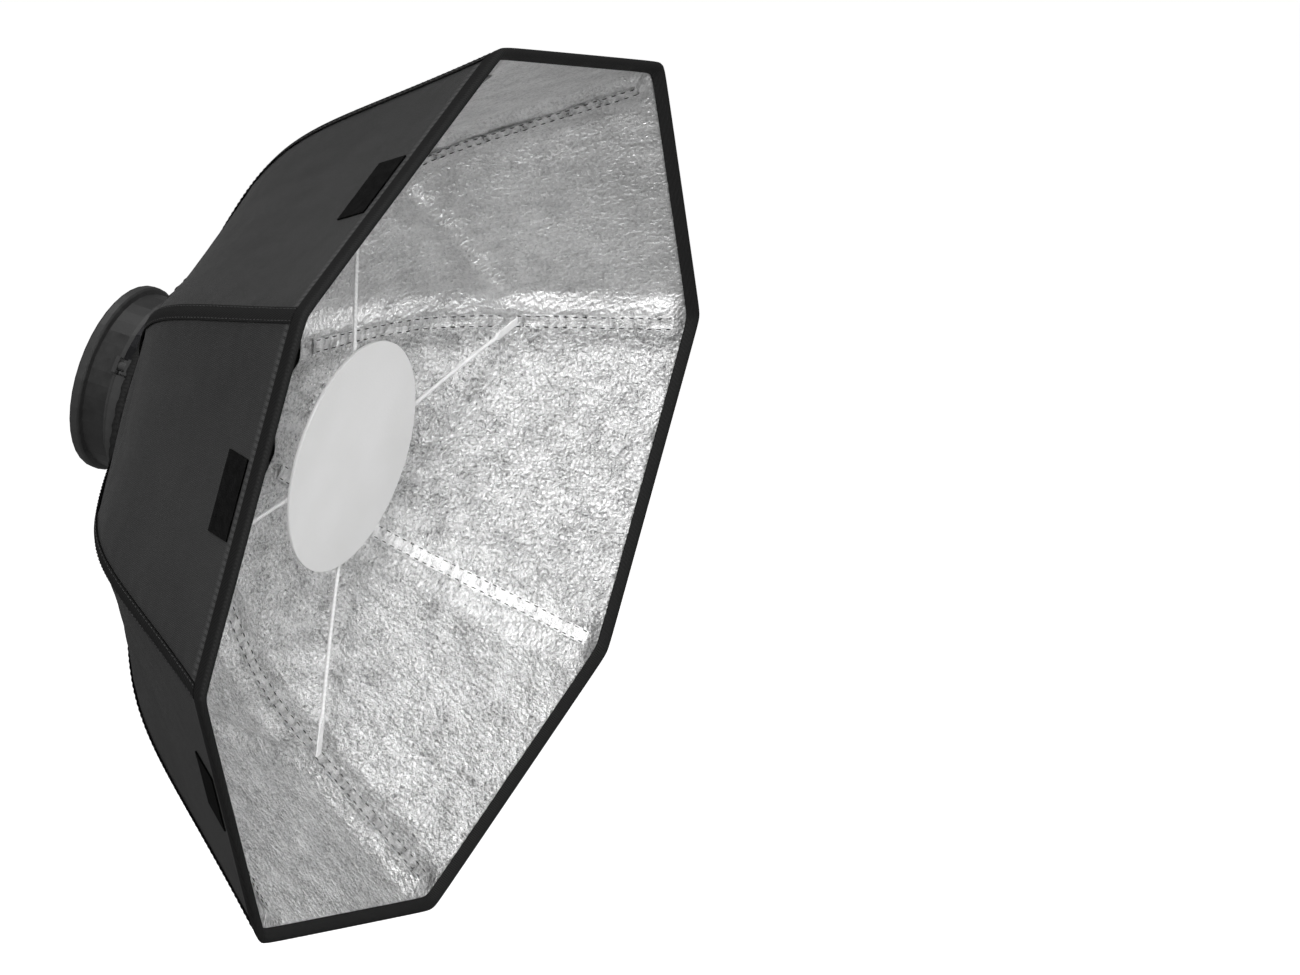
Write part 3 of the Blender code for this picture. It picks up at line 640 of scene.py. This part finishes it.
def white_plate():
    """Satin white plastic sheet with a faint moulded texture and a little handling wear."""
    m = Nodes("deflector_white", (0.78,) * 3, 0.5)
    at = m.object_coordinates()
    speckle = m.noise(at, 0.0016, detail=3.0)
    cloud = m.noise(at, 0.045, detail=4.0)
    m.colour(m.ramp(cloud, [(0.3, (0.80, 0.80, 0.795)), (0.7, (0.84, 0.84, 0.84))]))
    m.rough(m.ramp(cloud, [(0.3, 0.42), (0.7, 0.58)]))
    m.bump(speckle, 0.00012)
    return m.material


def elastic():
    """Braided white elastic cord and tape."""
    shade = 0.92
    m = Nodes("white_elastic", (shade,) * 3, 0.75)
    at = m.object_coordinates()
    braid = m.waves(at, 0.0009, "DIAGONAL", distortion=0.5)
    grime = m.noise(at, 0.02, detail=3.0)
    tone = m.ramp(grime, [(0.3, shade * 0.86), (0.7, shade * 1.04)])
    m.colour(m.mix(m.math("MULTIPLY", braid, 0.25), tone, (shade * 0.7,) * 3))
    m.bump(braid, 0.0002)
    return m.material


def moulded_plastic(name, shade, roughness=0.42):
    """Glass-filled plastic: fine spark-eroded grain, with its sharp edges painted lighter as a
    painted highlight.
    """
    m = Nodes(name, (shade,) * 3, roughness)
    at = m.object_coordinates()
    fine = m.noise(at, 0.0007, detail=3.0)
    patchy = m.noise(at, 0.018, detail=4.0, roughness=0.65)
    edge_sharpness = m.add("ShaderNodeNewGeometry").outputs["Pointiness"]
    # painted highlight: the sharp edges are painted lighter, standing in for the light they catch
    edge = m.ramp(edge_sharpness, [(0.50, 0.0), (0.56, 1.0)])
    tone = m.ramp(patchy, [(0.3, shade * 0.75), (0.7, shade * 1.3)])
    m.colour(m.mix(m.math("MULTIPLY", edge, 0.5), tone, (shade * 3.2,) * 3))
    m.rough(m.ramp(patchy, [(0.3, roughness - 0.08), (0.7, roughness + 0.12)]))
    m.bump(fine, 0.00009)
    return m.material


def grip_rubber():
    m = Nodes("sleeve_rubber", (0.014,) * 3, 0.86)
    at = m.object_coordinates()
    ridges = m.waves(at, 0.0035, "Y")
    dust = m.noise(at, 0.012, detail=4.0)
    m.colour(m.ramp(dust, [(0.3, 0.010), (0.75, 0.028)]))
    m.bump(ridges, 0.0006)
    m.bump(m.noise(at, 0.0008, detail=2.0), 0.0001)
    return m.material


def metal(name, colour, roughness, scratch_axis=(1.0, 12.0, 1.0)):
    """Drawn or painted steel with fine lines along its length and darker handled spots."""
    m = Nodes(name, colour, roughness, 1.0)
    at = m.object_coordinates()
    lines = m.noise(m.scaled(at, scratch_axis), 0.004, detail=4.0, roughness=0.7)
    spots = m.noise(at, 0.015, detail=3.0)
    low, high = tuple(c * 0.7 for c in colour), tuple(min(1.0, c * 1.2) for c in colour)
    m.colour(m.ramp(spots, [(0.3, low), (0.7, high)]))
    m.rough(m.ramp(lines, [(0.3, max(0.05, roughness - 0.1)), (0.7, roughness + 0.12)]))
    m.bump(lines, 0.00005)
    return m.material


def fibreglass():
    m = Nodes("rod_fibreglass", (0.03,) * 3, 0.34, Coat_Weight=0.4)
    at = m.object_coordinates()
    strands = m.noise(m.scaled(at, (6.0, 1.0, 6.0)), 0.003, detail=4.0, roughness=0.7)
    m.colour(m.ramp(strands, [(0.3, 0.018), (0.7, 0.055)]))
    m.bump(strands, 0.00008)
    return m.material


def paint_dot(name, colour):
    m = Nodes(name, colour, 0.4)
    at = m.object_coordinates()
    shade = m.noise(at, 0.002, detail=3.0)
    low = tuple(c * 0.75 for c in colour)
    m.colour(m.ramp(shade, [(0.3, low), (0.6, colour)]))
    m.bump(shade, 0.00008)
    return m.material


def pale_floor():
    m = Nodes("floor_pale", (0.92, 0.92, 0.92), 0.9)
    at = m.object_coordinates()
    m.colour(m.ramp(m.noise(at, 3.0, detail=2.0), [(0.3, 0.90), (0.7, 0.94)]))
    m.shader.inputs["Emission Color"].default_value = (1.0, 1.0, 1.0, 1.0)
    m.shader.inputs["Emission Strength"].default_value = FLOOR_GLOW
    return m.material


def paint(thing, material):
    """Gives a piece, or a CAD node's material slots, this material."""
    if not thing.material_slots:
        thing.data.materials.append(material)
    for place in thing.material_slots:
        place.material = material


# ---- camera, light and floor ----
VIEW_AZIMUTH = math.radians(-67.16)
VIEW_ELEVATION = math.radians(8.35)
VIEW_ROLL = math.radians(15.42)
VIEW_DISTANCE = 3.7375
VIEW_RIGHT = 0.1153
VIEW_UP = 0.0048
LENS_MM = 167.2
FLOOR_Z = -0.75
FLOOR_GLOW = 0.84
# (radius, height) of the pale floor, which curves up into a backdrop and closes overhead
BACKDROP = ((0.5, 0.0), (20.0, 0.0), (45.0, 0.0), (56.0, 1.5), (64.0, 6.0),
            (70.0, 15.0), (71.0, 30.0), (62.0, 50.0), (40.0, 64.0), (0.5, 70.0))
WORLD_STRENGTH = 0.18
LIGHT_AIM = (0.0, -0.15, 0.0)
# name, place from there, diameter, watts
LIGHTS = (
    ("key", (-3.0, -1.0, 1.1), 1.3, 118.0),
    ("mouth_fill", (-1.2, -2.7, 0.5), 1.8, 44.0),
    ("top", (-0.4, 0.5, 2.6), 2.0, 22.0),
)


def view_axes():
    """The camera's right, up and backward directions."""
    a, e = VIEW_AZIMUTH, VIEW_ELEVATION
    back = Vector((math.sin(a) * math.cos(e), -math.cos(a) * math.cos(e), math.sin(e)))
    level = Vector((math.cos(a), math.sin(a), 0.0))
    above = back.cross(level)
    right = level * math.cos(VIEW_ROLL) + above * math.sin(VIEW_ROLL)
    up = above * math.cos(VIEW_ROLL) - level * math.sin(VIEW_ROLL)
    return right, up, back


def make_camera():
    right, up, back = view_axes()
    mouth = Vector((0.0, -MOUTH_FORWARD, 0.0))
    data = bpy.data.cameras.new("camera")
    data.lens = LENS_MM
    data.sensor_width = 36.0
    data.clip_end = 100.0
    camera = add_object("camera", data)
    turn = Matrix((right, up, back)).transposed().to_4x4()
    place = mouth + back * VIEW_DISTANCE + right * VIEW_RIGHT + up * VIEW_UP
    camera.matrix_world = Matrix.Translation(place) @ turn
    bpy.context.scene.camera = camera


def make_stage():
    world = bpy.data.worlds.new("studio")
    world.use_nodes = True
    background = world.node_tree.nodes["Background"]
    background.inputs["Color"].default_value = (1.0, 1.0, 1.0, 1.0)
    background.inputs["Strength"].default_value = WORLD_STRENGTH
    bpy.context.scene.world = world
    bpy.context.scene.view_settings.view_transform = "Standard"
    aim = Vector(LIGHT_AIM)
    for name, offset, size, power in LIGHTS:
        data = bpy.data.lights.new(name, "AREA")
        data.shape = "DISK"
        data.size = size
        data.energy = power
        light = add_object(name, data)
        place = aim + Vector(offset)
        light.location = place
        light.rotation_euler = (aim - place).to_track_quat("-Z", "Y").to_euler()
    angles = np.linspace(0, math.tau, 97)[:-1]
    rings = [[(r * math.cos(a), r * math.sin(a), FLOOR_Z + z) for a in angles] for r, z in BACKDROP]
    floor = loft_mesh("floor", rings)
    paint(floor, pale_floor())
    floor.visible_diffuse = False
    floor.visible_glossy = False


# ---- the panels and the liner ----
def half_places(panel):
    """A panel's two halves: (name, columns, (rib, pleated body, way from the rib))."""
    following = panel % RIBS + 1
    return (("a", slice(0, HALF_COLUMNS + 1), (panel, f"half_panel_{panel}_left", 1)),
            ("b", slice(HALF_COLUMNS, None), (following, f"half_panel_{following}_right", -1)))


def sew(piece, material):
    """Finishes a piece of a half sheet: gives it its material and bakes its place into its mesh."""
    paint(piece, material)
    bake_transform(piece)


def panel_angle(panel):
    return rib_angle(panel) + HALF_STEP


def places():
    """Columns across a panel, closer together by the ribs."""
    t = np.linspace(-1, 1, 2 * HALF_COLUMNS + 1)
    return 0.55 * t + 0.45 * np.sin(t * math.pi / 2)


def flat_coordinates(share, place, panel):
    """A point's place on the flat cloth, in metres: across from mid-panel and along from the mouth.

    Each panel is 0.9 m beside the one before it, so that no two look alike.
    """
    across = place * half_side(share) + panel * 0.9
    return np.stack(np.broadcast_arrays(across, arc_at_share(share)), axis=-1)


def along_line(share, place, start, end, width):
    """How near (share, place) points are to a straight fold: 1 on it, and fading beside it."""
    a, b = np.array(start), np.array(end)
    scale = np.array((SEAM_LENGTH, 0.085))
    p = np.stack(np.broadcast_arrays(share, place), axis=-1) * scale
    a, b = a * scale, b * scale
    long = np.linalg.norm(b - a)
    run = (b - a) / long
    t = (p - a) @ run
    across = (p - a)[..., 0] * run[1] - (p - a)[..., 1] * run[0]
    ends = smooth_step(t, -0.004, 0.012) * (1 - smooth_step(t, long * 0.8, long * 1.08))
    return np.exp(-(across / width) ** 2) * ends


def liner_height(share, place, panel, flat):
    """How far the silver cloth stands off the panel, towards the inside."""
    distance = (1 - np.abs(place)) * half_side(share)
    over_rod = 1 - smooth_step(distance, POCKET_HALF, POCKET_FADE)
    from_mouth = smooth_step(MOUTH_FORWARD - seam(share)[1], 0.0045, 0.0125)
    side = -1 if panel % 2 else 1
    tab, deep = share_at_depth(CORD_DEPTH), share_at_depth(CREASE_TO_DEPTH)
    crease = along_line(share, place, (tab, side * 0.93), (deep, -side * 0.9), CREASE[1])
    dip = along_line(share, place, (tab + 0.03, side * 0.9), (deep + 0.06, -side * 0.4),
                     CREASE_DIP[1])
    height = POCKET_RAISE * over_rod * from_mouth + CREASE[0] * crease - CREASE_DIP[0] * dip
    loose = np.sin(math.pi * np.clip(share, 0, 1)) * (1 - over_rod)
    height = height + LINER_SLACK[0] * loose * (noise_grid(flat, LINER_SLACK[1], 3.1) + 0.5)
    streaks = noise_grid(flat, LINER_STREAKS[1], 7.7 + panel, (2.6, 0.5)) * (1 - over_rod)
    between = smooth_step(share, 0.0, 0.15) * (1 - smooth_step(share, 0.6, 0.9))
    height = height + LINER_STREAKS[0] * between * streaks
    pucker = np.exp(-((distance - 0.010) / 0.008) ** 2) * from_mouth
    pucker = pucker * noise_grid(flat, LINER_PUCKER[1], 5.5, (0.6, 1.6))
    return np.maximum(height + LINER_PUCKER[0] * pucker, 0.0002)


def black_height(share, place, panel, flat):
    """How far the black cloth stands proud, towards the outside."""
    distance = (1 - np.abs(place)) * half_side(share)
    middle = smooth_step(distance, 0.010, 0.050) * np.sin(math.pi * np.clip(share, 0, 1))
    height = BLACK_RUMPLES[0] * middle * noise_grid(flat, BLACK_RUMPLES[1], 1.3 + panel)
    streaks = noise_grid(flat, BLACK_STREAKS[1], 9.1 + panel, (1.8, 0.6))
    height = height + BLACK_STREAKS[0] * middle * streaks
    pucker = np.exp(-((distance - 0.011) / 0.007) ** 2)
    height = height + BLACK_PUCKER[0] * pucker * noise_grid(flat, BLACK_PUCKER[1], 4.4, (0.6, 1.7))
    yoke = smooth_step(share, YOKE_FROM_SHARE - 0.004, YOKE_FROM_SHARE + 0.002)
    welt = np.exp(-((share - YOKE_FROM_SHARE + 0.012) / 0.008) ** 2)
    return height - YOKE_DROP * yoke + YOKE_WELT * welt


def half_sheets(kind, panel, share, inset, height_of, thickness, inward):
    """Both halves of one panel's sheet, as closed thin solids, each with its half's place."""
    share = share[:, None]
    place = places()[None, :]
    flat = flat_coordinates(share, place, panel)
    base = cloth_point(share, place, inset)
    way = -1 if inward else 1
    front = base + way * grid_normals(base) * height_of(share, place, panel, flat)[..., None]
    normals = grid_normals(front) * way
    grids = front, front - normals * thickness, normals
    front, back, normals = (turned_to(grid, panel_angle(panel)) for grid in grids)
    return [(sheet_mesh(f"{kind}_{panel}_{name}", front[:, columns], back[:, columns],
                        normals[:, columns], flat[:, columns]), half)
            for name, columns, half in half_places(panel)]


def make_panels():
    cloth = black_cloth()
    share = share_at_arc(np.linspace(BLACK_FROM, SEAM_LENGTH, ROWS))
    for panel in range(1, RIBS + 1):
        for piece, half in half_sheets("panel_cloth", panel, share, 0.0, black_height,
                                       BLACK_THICKNESS, inward=False):
            rib, _, way = half
            sew(piece, cloth)
            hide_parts(f"panel_{rib}_{'left' if way > 0 else 'right'}")


def make_liner():
    smooth = silver_cloth("silver_smooth_lit", 0.25)
    crinkled = silver_cloth("silver_crinkled", 1.0)
    share = share_at_arc(np.linspace(LINER_FROM, arc_at_share(LINER_TO_SHARE), ROWS))
    for panel in range(1, RIBS + 1):
        for piece, half in half_sheets("liner_cloth", panel, share, LINER_INSET + SILVER_THICKNESS,
                                       liner_height, SILVER_THICKNESS, inward=True):
            # painted light: the top panels get the smoother copy, whose tone is painted lighter;
            # the others get the darker crinkled copy
            sew(piece, smooth if panel in SMOOTH_LIT_PANELS else crinkled)
            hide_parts(f"liner_gore_{half[0]}")


# ---- what is sewn along the edges of the panels ----
def make_binding():
    """The rim binding: a folded tape whose two legs hold the panel and the liner between them."""
    cloth = webbing("rim_binding_tape", 0.0075)
    arcs, insets = (np.array(column) for column in zip(*BINDING))
    for panel in range(1, RIBS + 1):
        for name, columns, half in half_places(panel):
            rings = [cloth_point(share_at_arc(arcs), place, insets) for place in places()[columns]]
            rings = turned_to(rings, panel_angle(panel))
            piece = loft_mesh(f"rim_binding_{panel}_{name}", rings, angle=50)
            sew(piece, cloth)


def make_patches():
    """A rectangle of loop pile on each panel near the rim, for a grid's or a diffuser's hooks."""
    pile = loop_patch()
    share = share_at_arc(np.linspace(PATCH_FROM, PATCH_FROM + PATCH_LENGTH, PATCH_STEPS))[:, None]
    steps = np.linspace(0, 1, PATCH_STEPS)
    for panel in range(1, RIBS + 1):
        for name, _, half in half_places(panel):
            place = -half[2] * steps[None, :] * PATCH_WIDTH / 2 / half_side(share)
            flat = flat_coordinates(share, place, panel)
            base = cloth_point(share, place, 0.0)
            normals = grid_normals(base)
            lift = black_height(share, place, panel, flat)[..., None]
            grids = base + normals * (lift + PATCH_THICKNESS), base + normals * lift, normals
            grids = [turned_to(grid, panel_angle(panel)) for grid in grids]
            sew(sheet_mesh(f"loop_patch_{panel}_{name}", *grids, flat), pile)


# ---- what is sewn along the ribs ----
def rib_strip(share, sideways, inset):
    """Points beside rib 0's plane, sideways from it, on the panels that meet there."""
    share, sideways, inset = np.broadcast_arrays(share, sideways, inset)
    step = np.abs(sideways) / half_side(share)
    after = turned_to(cloth_point(share, -1 + step, inset), HALF_STEP)
    before = turned_to(cloth_point(share, 1 - step, inset), -HALF_STEP)
    return np.where((sideways >= 0)[..., None], after, before)


def strip_places(rib):
    """A rib's two sides: (name, (rib, the half panel's body, way from the rib))."""
    return ("a", (rib, f"half_panel_{rib}_left", 1)), ("b", (rib, f"half_panel_{rib}_right", -1))


def strip_sheet(name, half, share, sideways, inset, thickness, inward):
    """A closed strip beside a rib, and its front and normals."""
    rib, _, way = half
    whole = np.concatenate((-sideways[:0:-1], sideways)) * way
    whole_inset = np.concatenate((inset[:, :0:-1], inset), axis=1)
    front = rib_strip(share[:, None], whole[None, :], whole_inset)
    normals = grid_normals(front) * (-1 if inward else 1)
    flat = np.broadcast_arrays(whole[None, :] + rib, arc_at_share(share)[:, None])
    own = slice(len(sideways) - 1, None)
    front, back, normals = (turned_to(grid[:, own], rib_angle(rib))
                            for grid in (front, front - normals * thickness, normals))
    return sheet_mesh(name, front, back, normals, np.stack(flat, axis=-1)[:, own]), front, normals


def make_tapes():
    """Outside, a tape covers each seam between two panels."""
    cloth = webbing("seam_tape", 0.0095)
    thread = webbing("grey_thread", 0.055, 0.0006)
    share = share_at_arc(np.linspace(TAPE_FROM, SEAM_LENGTH - TAPE_END_GAP, TAPE_ROWS))
    sideways = np.linspace(0.0, TAPE_HALF, 5)
    inset = np.full((len(share), len(sideways)), -TAPE_LIFT - TAPE_THICKNESS)
    for rib in range(1, RIBS + 1):
        for side, half in strip_places(rib):
            piece, front, normals = strip_sheet(f"seam_tape_{rib}_{side}", half, share, sideways,
                                                inset, TAPE_THICKNESS, inward=False)
            sew(piece, cloth)
            name = f"seam_thread_{rib}_{side}"
            piece = stitch_row(name, front[:, 3], normals[:, 3], *TAPE_STITCH)
            sew(piece, thread)


def make_pockets():
    """Inside, a strip of silver cloth sewn over each rod makes its pocket."""
    cloth = pocket_cloth()
    thread = webbing("black_thread", 0.012, 0.0006)
    share = share_at_arc(np.linspace(STRIP_FROM, arc_at_share(STRIP_TO_SHARE), STRIP_ROWS))
    sideways = np.linspace(0.0, STRIP_HALF, 6)
    over_rod = 1 - smooth_step(sideways, POCKET_HALF, POCKET_FADE)
    reach = (sideways / STRIP_HALF)[None, :]
    for rib in range(1, RIBS + 1):
        for side, half in strip_places(rib):
            at = np.stack(np.broadcast_arrays(half[2] * sideways[None, :] + rib * 0.3,
                                              arc_at_share(share)[:, None]), axis=-1)
            pucker = noise_grid(at, POCKET_PUCKER[1], 2.2 + rib, (0.5, 1.0)) * reach
            inset = (LINER_INSET + SILVER_THICKNESS + POCKET_RAISE * over_rod[None, :]
                     + STRIP_CROWN * (1 - reach ** 2) + POCKET_PUCKER[0] * pucker + STRIP_LIFT)
            piece, front, normals = strip_sheet(f"rod_pocket_{rib}_{side}", half, share, sideways,
                                                inset, STRIP_THICKNESS, inward=True)
            sew(piece, cloth)
            name = f"pocket_thread_{rib}_{side}"
            piece = stitch_row(name, front[:, 4], normals[:, 4], *STRIP_STITCH)
            sew(piece, thread)


# ---- the deflector plate and its cords ----
def on_hub(piece, material):
    """Finishes a piece that turns with the hub."""
    paint(piece, material)
    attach(piece, "hub")


def circle(radius, forward, sides=128):
    angles = np.linspace(0, math.tau, sides, endpoint=False)
    return np.stack([radius * np.cos(angles), np.full(sides, -forward), radius * np.sin(angles)],
                    axis=-1)


def at_rib(rib, radius, forward):
    angle = rib_angle(rib)
    return np.array((radius * math.cos(angle), -forward, radius * math.sin(angle)))


def make_plate():
    """A white disc with rounded edges, and a clip on its back for each cord."""
    half, edge = PLATE_HALF, PLATE_BEVEL
    rings = [circle(PLATE_R - inset, PLATE_FORWARD + ahead) for inset, ahead in (
        (2 * edge, -half), (edge / 3, -half + edge / 3), (0.0, -half + edge),
        (0.0, half - edge), (edge / 3, half - edge / 3), (2 * edge, half))]
    plate = loft_mesh("deflector_disc", rings, angle=30)
    on_hub(plate, white_plate())
    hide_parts("deflector_plate")
    plastic = moulded_plastic("clip_white", 0.60, 0.5)
    forward = PLATE_FORWARD - half - CLIP_BEHIND
    for rib in CORD_RIBS:
        ends = [at_rib(rib, PLATE_R - inset, forward) for inset in CLIP_INSETS]
        clip = tube(f"plate_clip_{rib}", np.linspace(*ends, len(CLIP_RADII)), CLIP_RADII, 16)
        on_hub(clip, plastic)


def make_cords():
    """White elastic cords from the plate's clips, each sewn to a flat tab on its rib's pocket."""
    cloth = elastic()
    radius, forward = seam(share_at_depth(CORD_DEPTH), LINER_INSET + POCKET_RAISE + TAB_LIFT)
    for rib in CORD_RIBS:
        start = at_rib(rib, *CORD_START)
        end = at_rib(rib, float(radius), float(forward))
        along = (end - start) / np.linalg.norm(end - start)
        angle = rib_angle(rib)
        across = np.array((-math.sin(angle), 0.0, math.cos(angle)))
        over = np.cross(along, across)
        t = np.linspace(0, 1, 24)
        line = start + (end - along * (TAB_LENGTH - TAB_OVERLAP) - start) * t[:, None]
        line[:, 1] += CORD_SAG * np.sin(math.pi * t)
        rings = []
        for u in np.linspace(0, 1, 16):
            centre = end - along * TAB_LENGTH * (1 - u)
            wide, flare, thin = (float(smooth_step(u, low, high))
                                 for low, high in ((0.0, 0.12), (0.86, 1.0), (0.0, 0.3)))
            half = TAB_HALF * (0.55 + 0.45 * wide) + TAB_FLARE * flare
            thick = TAB_THICKNESS / 2 + TAB_NECK * (1 - thin)
            rings.append([centre + across * half * x + over * thick * y for x, y in TAB_SECTION])
        cord = tube("cord", line, CORD_R, 12)
        piece = joined(f"cord_and_tab_{rib}", [cord, loft_mesh("tab", rings, angle=40)])
        piece.data.shade_smooth()
        piece.data.set_sharp_from_angle(angle=math.radians(40))
        paint(piece, cloth)
        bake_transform(piece)
        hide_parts(f"deflector_cord_{rib}")


# ---- the hub's trim and the elastic hem ----
def make_hem():
    """The gathered elastic edge of the box, round the hub's rim."""
    rings = []
    for angle in math.tau * np.arange(HEM_STEPS) / HEM_STEPS:
        drift = 1.4 * math.sin(5 * angle) + 0.8 * math.sin(11 * angle)
        gather = math.sin(HEM_GATHERS * angle + drift)
        swell = 1 + 0.16 * gather + 0.05 * math.sin(2 * HEM_GATHERS * angle)
        from_rib = abs(angle % RIB_STEP - HALF_STEP)
        inner = HEM_INNER_R - HEM_REACH * float(smooth_step(from_rib, *HEM_REACH_ANGLES))
        middle, half = (HEM_OUTER_R + inner) / 2, (HEM_OUTER_R - inner) / 2
        ring = []
        for a in math.tau * np.arange(HEM_SIDES) / HEM_SIDES:
            r = middle + half * math.copysign(abs(math.cos(a)) ** HEM_SQUARENESS, math.cos(a))
            f = HEM_FORWARD + HEM_HALF_DEPTH * math.sin(a) * swell
            ring.append((r * math.cos(angle), -f, r * math.sin(angle)))
        rings.append(ring)
    hem = loft_mesh("gathered_hem", rings, cyclic=True)
    on_hub(hem, webbing("hem_elastic_cloth", 0.010, 0.0016))
    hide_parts("rear_hem")


def hub_point(angle, radius, sideways, raised):
    """A point on the hub's back at an angle off +X, and the way that the back faces there."""
    forward = HUB_NECK[1] + (radius - HUB_NECK[0]) * HUB_SLOPE - raised
    facing = np.array((HUB_SLOPE, 1.0, 0.0)) / math.hypot(HUB_SLOPE, 1.0)
    return turned_to((radius, -forward, sideways), angle), turned_to(facing, angle)


def make_hub_trim():
    """Coloured dots and a pale bar on each block, thin ribs between them, and a neck ring."""
    paints = {"blue": (0.02, 0.16, 0.62), "green": (0.02, 0.42, 0.16), "red": (0.62, 0.03, 0.05),
              "white": (0.72, 0.72, 0.72)}
    looks = {name: paint_dot(f"paint_{name}", colour) for name, colour in paints.items()}
    fins = []
    for block in range(1, RIBS + 1):
        colours = ("red" if block % 2 else "blue", "green")
        for spot, (colour, sideways) in enumerate(zip(colours, DOT_SIDEWAYS), 1):
            centre, facing = hub_point(rib_angle(block), MARK_R, sideways, BLOCK_RAISE)
            line = [centre + facing * height for height, _ in DOT_PROFILE]
            dot = tube(f"hub_dot_{block}_{spot}", line, [radius for _, radius in DOT_PROFILE], 16)
            on_hub(dot, looks[colour])
        ends = [hub_point(rib_angle(block), MARK_R, sideways, BLOCK_RAISE)[0]
                for sideways in BAR_SIDEWAYS]
        bar = tube(f"hub_bar_{block}", np.linspace(*ends, len(BAR_RADII)), BAR_RADII, 8)
        on_hub(bar, looks["white"])
        for degrees in FIN_DEGREES:
            angle = rib_angle(block) + math.radians(degrees)
            ends = [hub_point(angle, radius, 0.0, 0.0)[0] for radius in FIN_ENDS]
            fins.append(tube("fin", np.linspace(*ends, len(FIN_RADII)), FIN_RADII, 8))
    fins = joined("hub_fins", fins)
    fins.data.shade_smooth()
    on_hub(fins, moulded_plastic("fin_plastic", 0.016))
    rings = [circle(NECK_RING[0] + NECK_RING_HALVES[0] * math.cos(b),
                    NECK_RING[1] + NECK_RING_HALVES[1] * math.sin(b))
             for b in np.linspace(0, math.tau, 9)[:-1]]
    ring = loft_mesh("neck_ring", np.stack(rings, axis=1), cyclic=True)
    on_hub(ring, metal("neck_ring_steel", (0.50, 0.50, 0.51), 0.28))


def paint_frame():
    """Materials for the frame's own pieces."""
    looks = {name: moulded_plastic(f"{name}_plastic", shade, rough) for name, shade, rough in (
        ("adapter_collar", 0.016, 0.40), ("hub_flange", 0.019, 0.46), ("hub_cover", 0.020, 0.50),
        ("band_buckle", 0.014, 0.36), ("clamp_lever", 0.017, 0.38), ("rod_tip", 0.024, 0.44))}
    looks["grip_sleeve"] = grip_rubber()
    looks["clamp_band"] = metal("band_black_steel", (0.045, 0.045, 0.048), 0.34, (1.0, 14.0, 1.0))
    looks["retaining_ring"] = metal("ring_steel", (0.52, 0.52, 0.53), 0.28)
    looks["lever_pin"] = metal("pin_steel", (0.55, 0.55, 0.56), 0.24, (8.0, 1.0, 8.0))
    looks["pivot_wire"] = metal("wire_steel", (0.50, 0.50, 0.51), 0.30)
    looks["rod"] = fibreglass()
    for name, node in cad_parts.items():
        if node.hide_render:
            continue
        kinds = [kind for kind in ("rod_tip", "rod") if name.startswith(kind + "_")]
        paint(node, looks[(kinds or [name])[0]])


make_camera()
make_stage()
make_panels()
make_liner()
make_binding()
make_patches()
make_tapes()
make_pockets()
make_plate()
make_cords()
make_hem()
make_hub_trim()
paint_frame()
